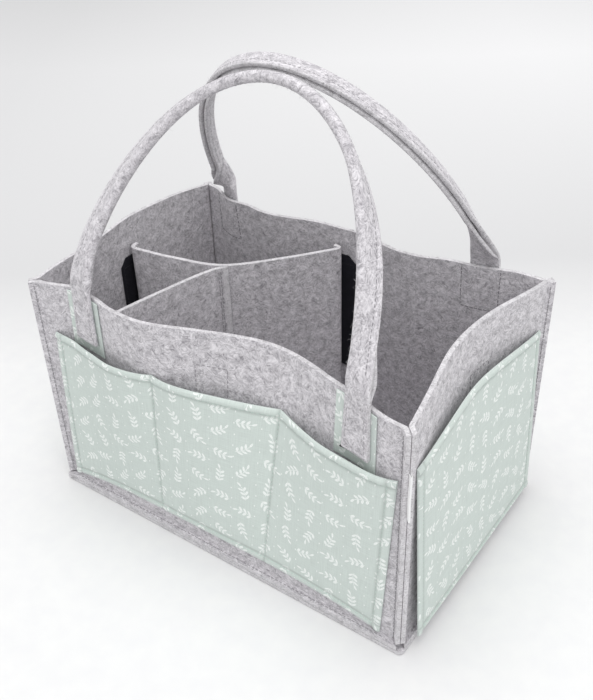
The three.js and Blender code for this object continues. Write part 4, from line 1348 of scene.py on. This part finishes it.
# %% Floor
AZIMUTH = math.radians(36.35)
right = np.array([math.cos(AZIMUTH), math.sin(AZIMUTH), 0])
straight_on = np.array([-math.sin(AZIMUTH), math.cos(AZIMUTH), 0])
FLOOR_HALF, FLOOR_BELOW = 6, 0.0004
corners = [(x * FLOOR_HALF, y * FLOOR_HALF, 0) for x, y in ((-1, -1), (1, -1), (1, 1), (-1, 1))]
floor_mesh = bpy.data.meshes.new("studio_floor")
floor_mesh.from_pydata(corners, [], [(0, 1, 2, 3)])
floor = bpy.data.objects.new("studio_floor", floor_mesh)
floor.location.z = -FLOOR_BELOW
bpy.context.scene.collection.objects.link(floor)
floor_look, tree, shader = new_material("pale_paper", roughness=0.9, specular_ior_level=0.1)
at = add(tree, "ShaderNodeTexCoord").outputs["Object"]
away, sideways = (
    add(tree, "ShaderNodeVectorMath", {0: at, 1: way}, operation="DOT_PRODUCT").outputs["Value"]
    for way in (straight_on, right)
)
grain = spread(tree, noise(tree, at, 60.0)[0], 0.3, 0.7)
paper = blend_colour(tree, grain, tint(227, 227, 228), tint(230, 230, 230))
# Painted light and shade: far off the paper is paler to the right, and a painted shade lies just behind
# the caddy.
painted_light_to_right = spread(tree, sideways, -0.5, 0.5)
far_paper_painted_light = blend_colour(tree, painted_light_to_right, tint(225, 225, 226), tint(243, 243, 244))
painted_shade_behind = blend_colour(tree, spread(tree, away, 0.4, 1.2), tint(211, 211, 212), far_paper_painted_light)
colour = blend_colour(tree, spread(tree, away, 0.18, 0.38), paper, painted_shade_behind)
feed(tree, shader.inputs["Base Color"], colour)
floor_mesh.materials.append(floor_look)
print("floor:", 2 * FLOOR_HALF, "m wide")

# %% [markdown]
# The light is even and soft: a bright surrounding, one large lamp from the front right and one from
# above. Their level is set so that the cloth stays below full white and keeps its shades.

# %% Light
SURROUND, AIM = 0.72, np.array([0.0, 0.0, 0.1])
world = bpy.data.worlds.new("studio")
world.use_nodes = True
background = world.node_tree.nodes["Background"].inputs
background["Color"].default_value, background["Strength"].default_value = (1, 1, 1, 1), SURROUND
bpy.context.scene.world = world


def lamp(name, place, size, power):
    light = bpy.data.lights.new(name, "AREA")
    light.shape, light.size, light.energy = "DISK", size, power
    obj = bpy.data.objects.new(name, light)
    x, y, z = AIM - np.array(place)
    obj.location = place
    obj.rotation_euler = (math.atan2(math.hypot(x, y), -z), 0, math.atan2(-x, y))
    bpy.context.scene.collection.objects.link(obj)
    print(f"{name}: {power} W, {size} m wide")


lamp("key_light", (1.3, -1.1, 1.9), 1.8, 15)
lamp("top_light", (-0.1, 0.0, 2.3), 2.0, 25)

# %% [markdown]
# The camera was fitted to the corners of the basket in the photograph. It is given by the point it looks
# at, its distance, its height above the level and a slight roll.

# %% Camera
ELEVATION, ROLL, DISTANCE = math.radians(34.46), math.radians(-1.94), 0.7847
TARGET, FOCAL_PIXELS, FRAME_PIXELS, SENSOR = np.array([-0.0268, 0.0451, 0.1]), 909.7, 700, 36
level, rise = math.cos(ELEVATION), math.sin(ELEVATION)
backward = np.array([math.sin(AZIMUTH) * level, -math.cos(AZIMUTH) * level, rise])
upward = np.cross(backward, right)
across = math.cos(ROLL) * right + math.sin(ROLL) * upward
upward = -math.sin(ROLL) * right + math.cos(ROLL) * upward
eye = TARGET + backward * DISTANCE
camera = bpy.data.objects.new("camera", bpy.data.cameras.new("camera"))
camera.data.sensor_width, camera.data.lens = SENSOR, FOCAL_PIXELS / FRAME_PIXELS * SENSOR
camera.data.clip_start = 0.01
directions = np.stack([across, upward, backward], -1)
camera.matrix_world = Matrix([(*row, place) for row, place in zip(directions, eye)]).to_4x4()
bpy.context.scene.collection.objects.link(camera)
bpy.context.scene.camera = camera
bpy.context.scene.view_settings.view_transform = "Standard"
print("camera at", [round(float(v), 3) for v in eye])
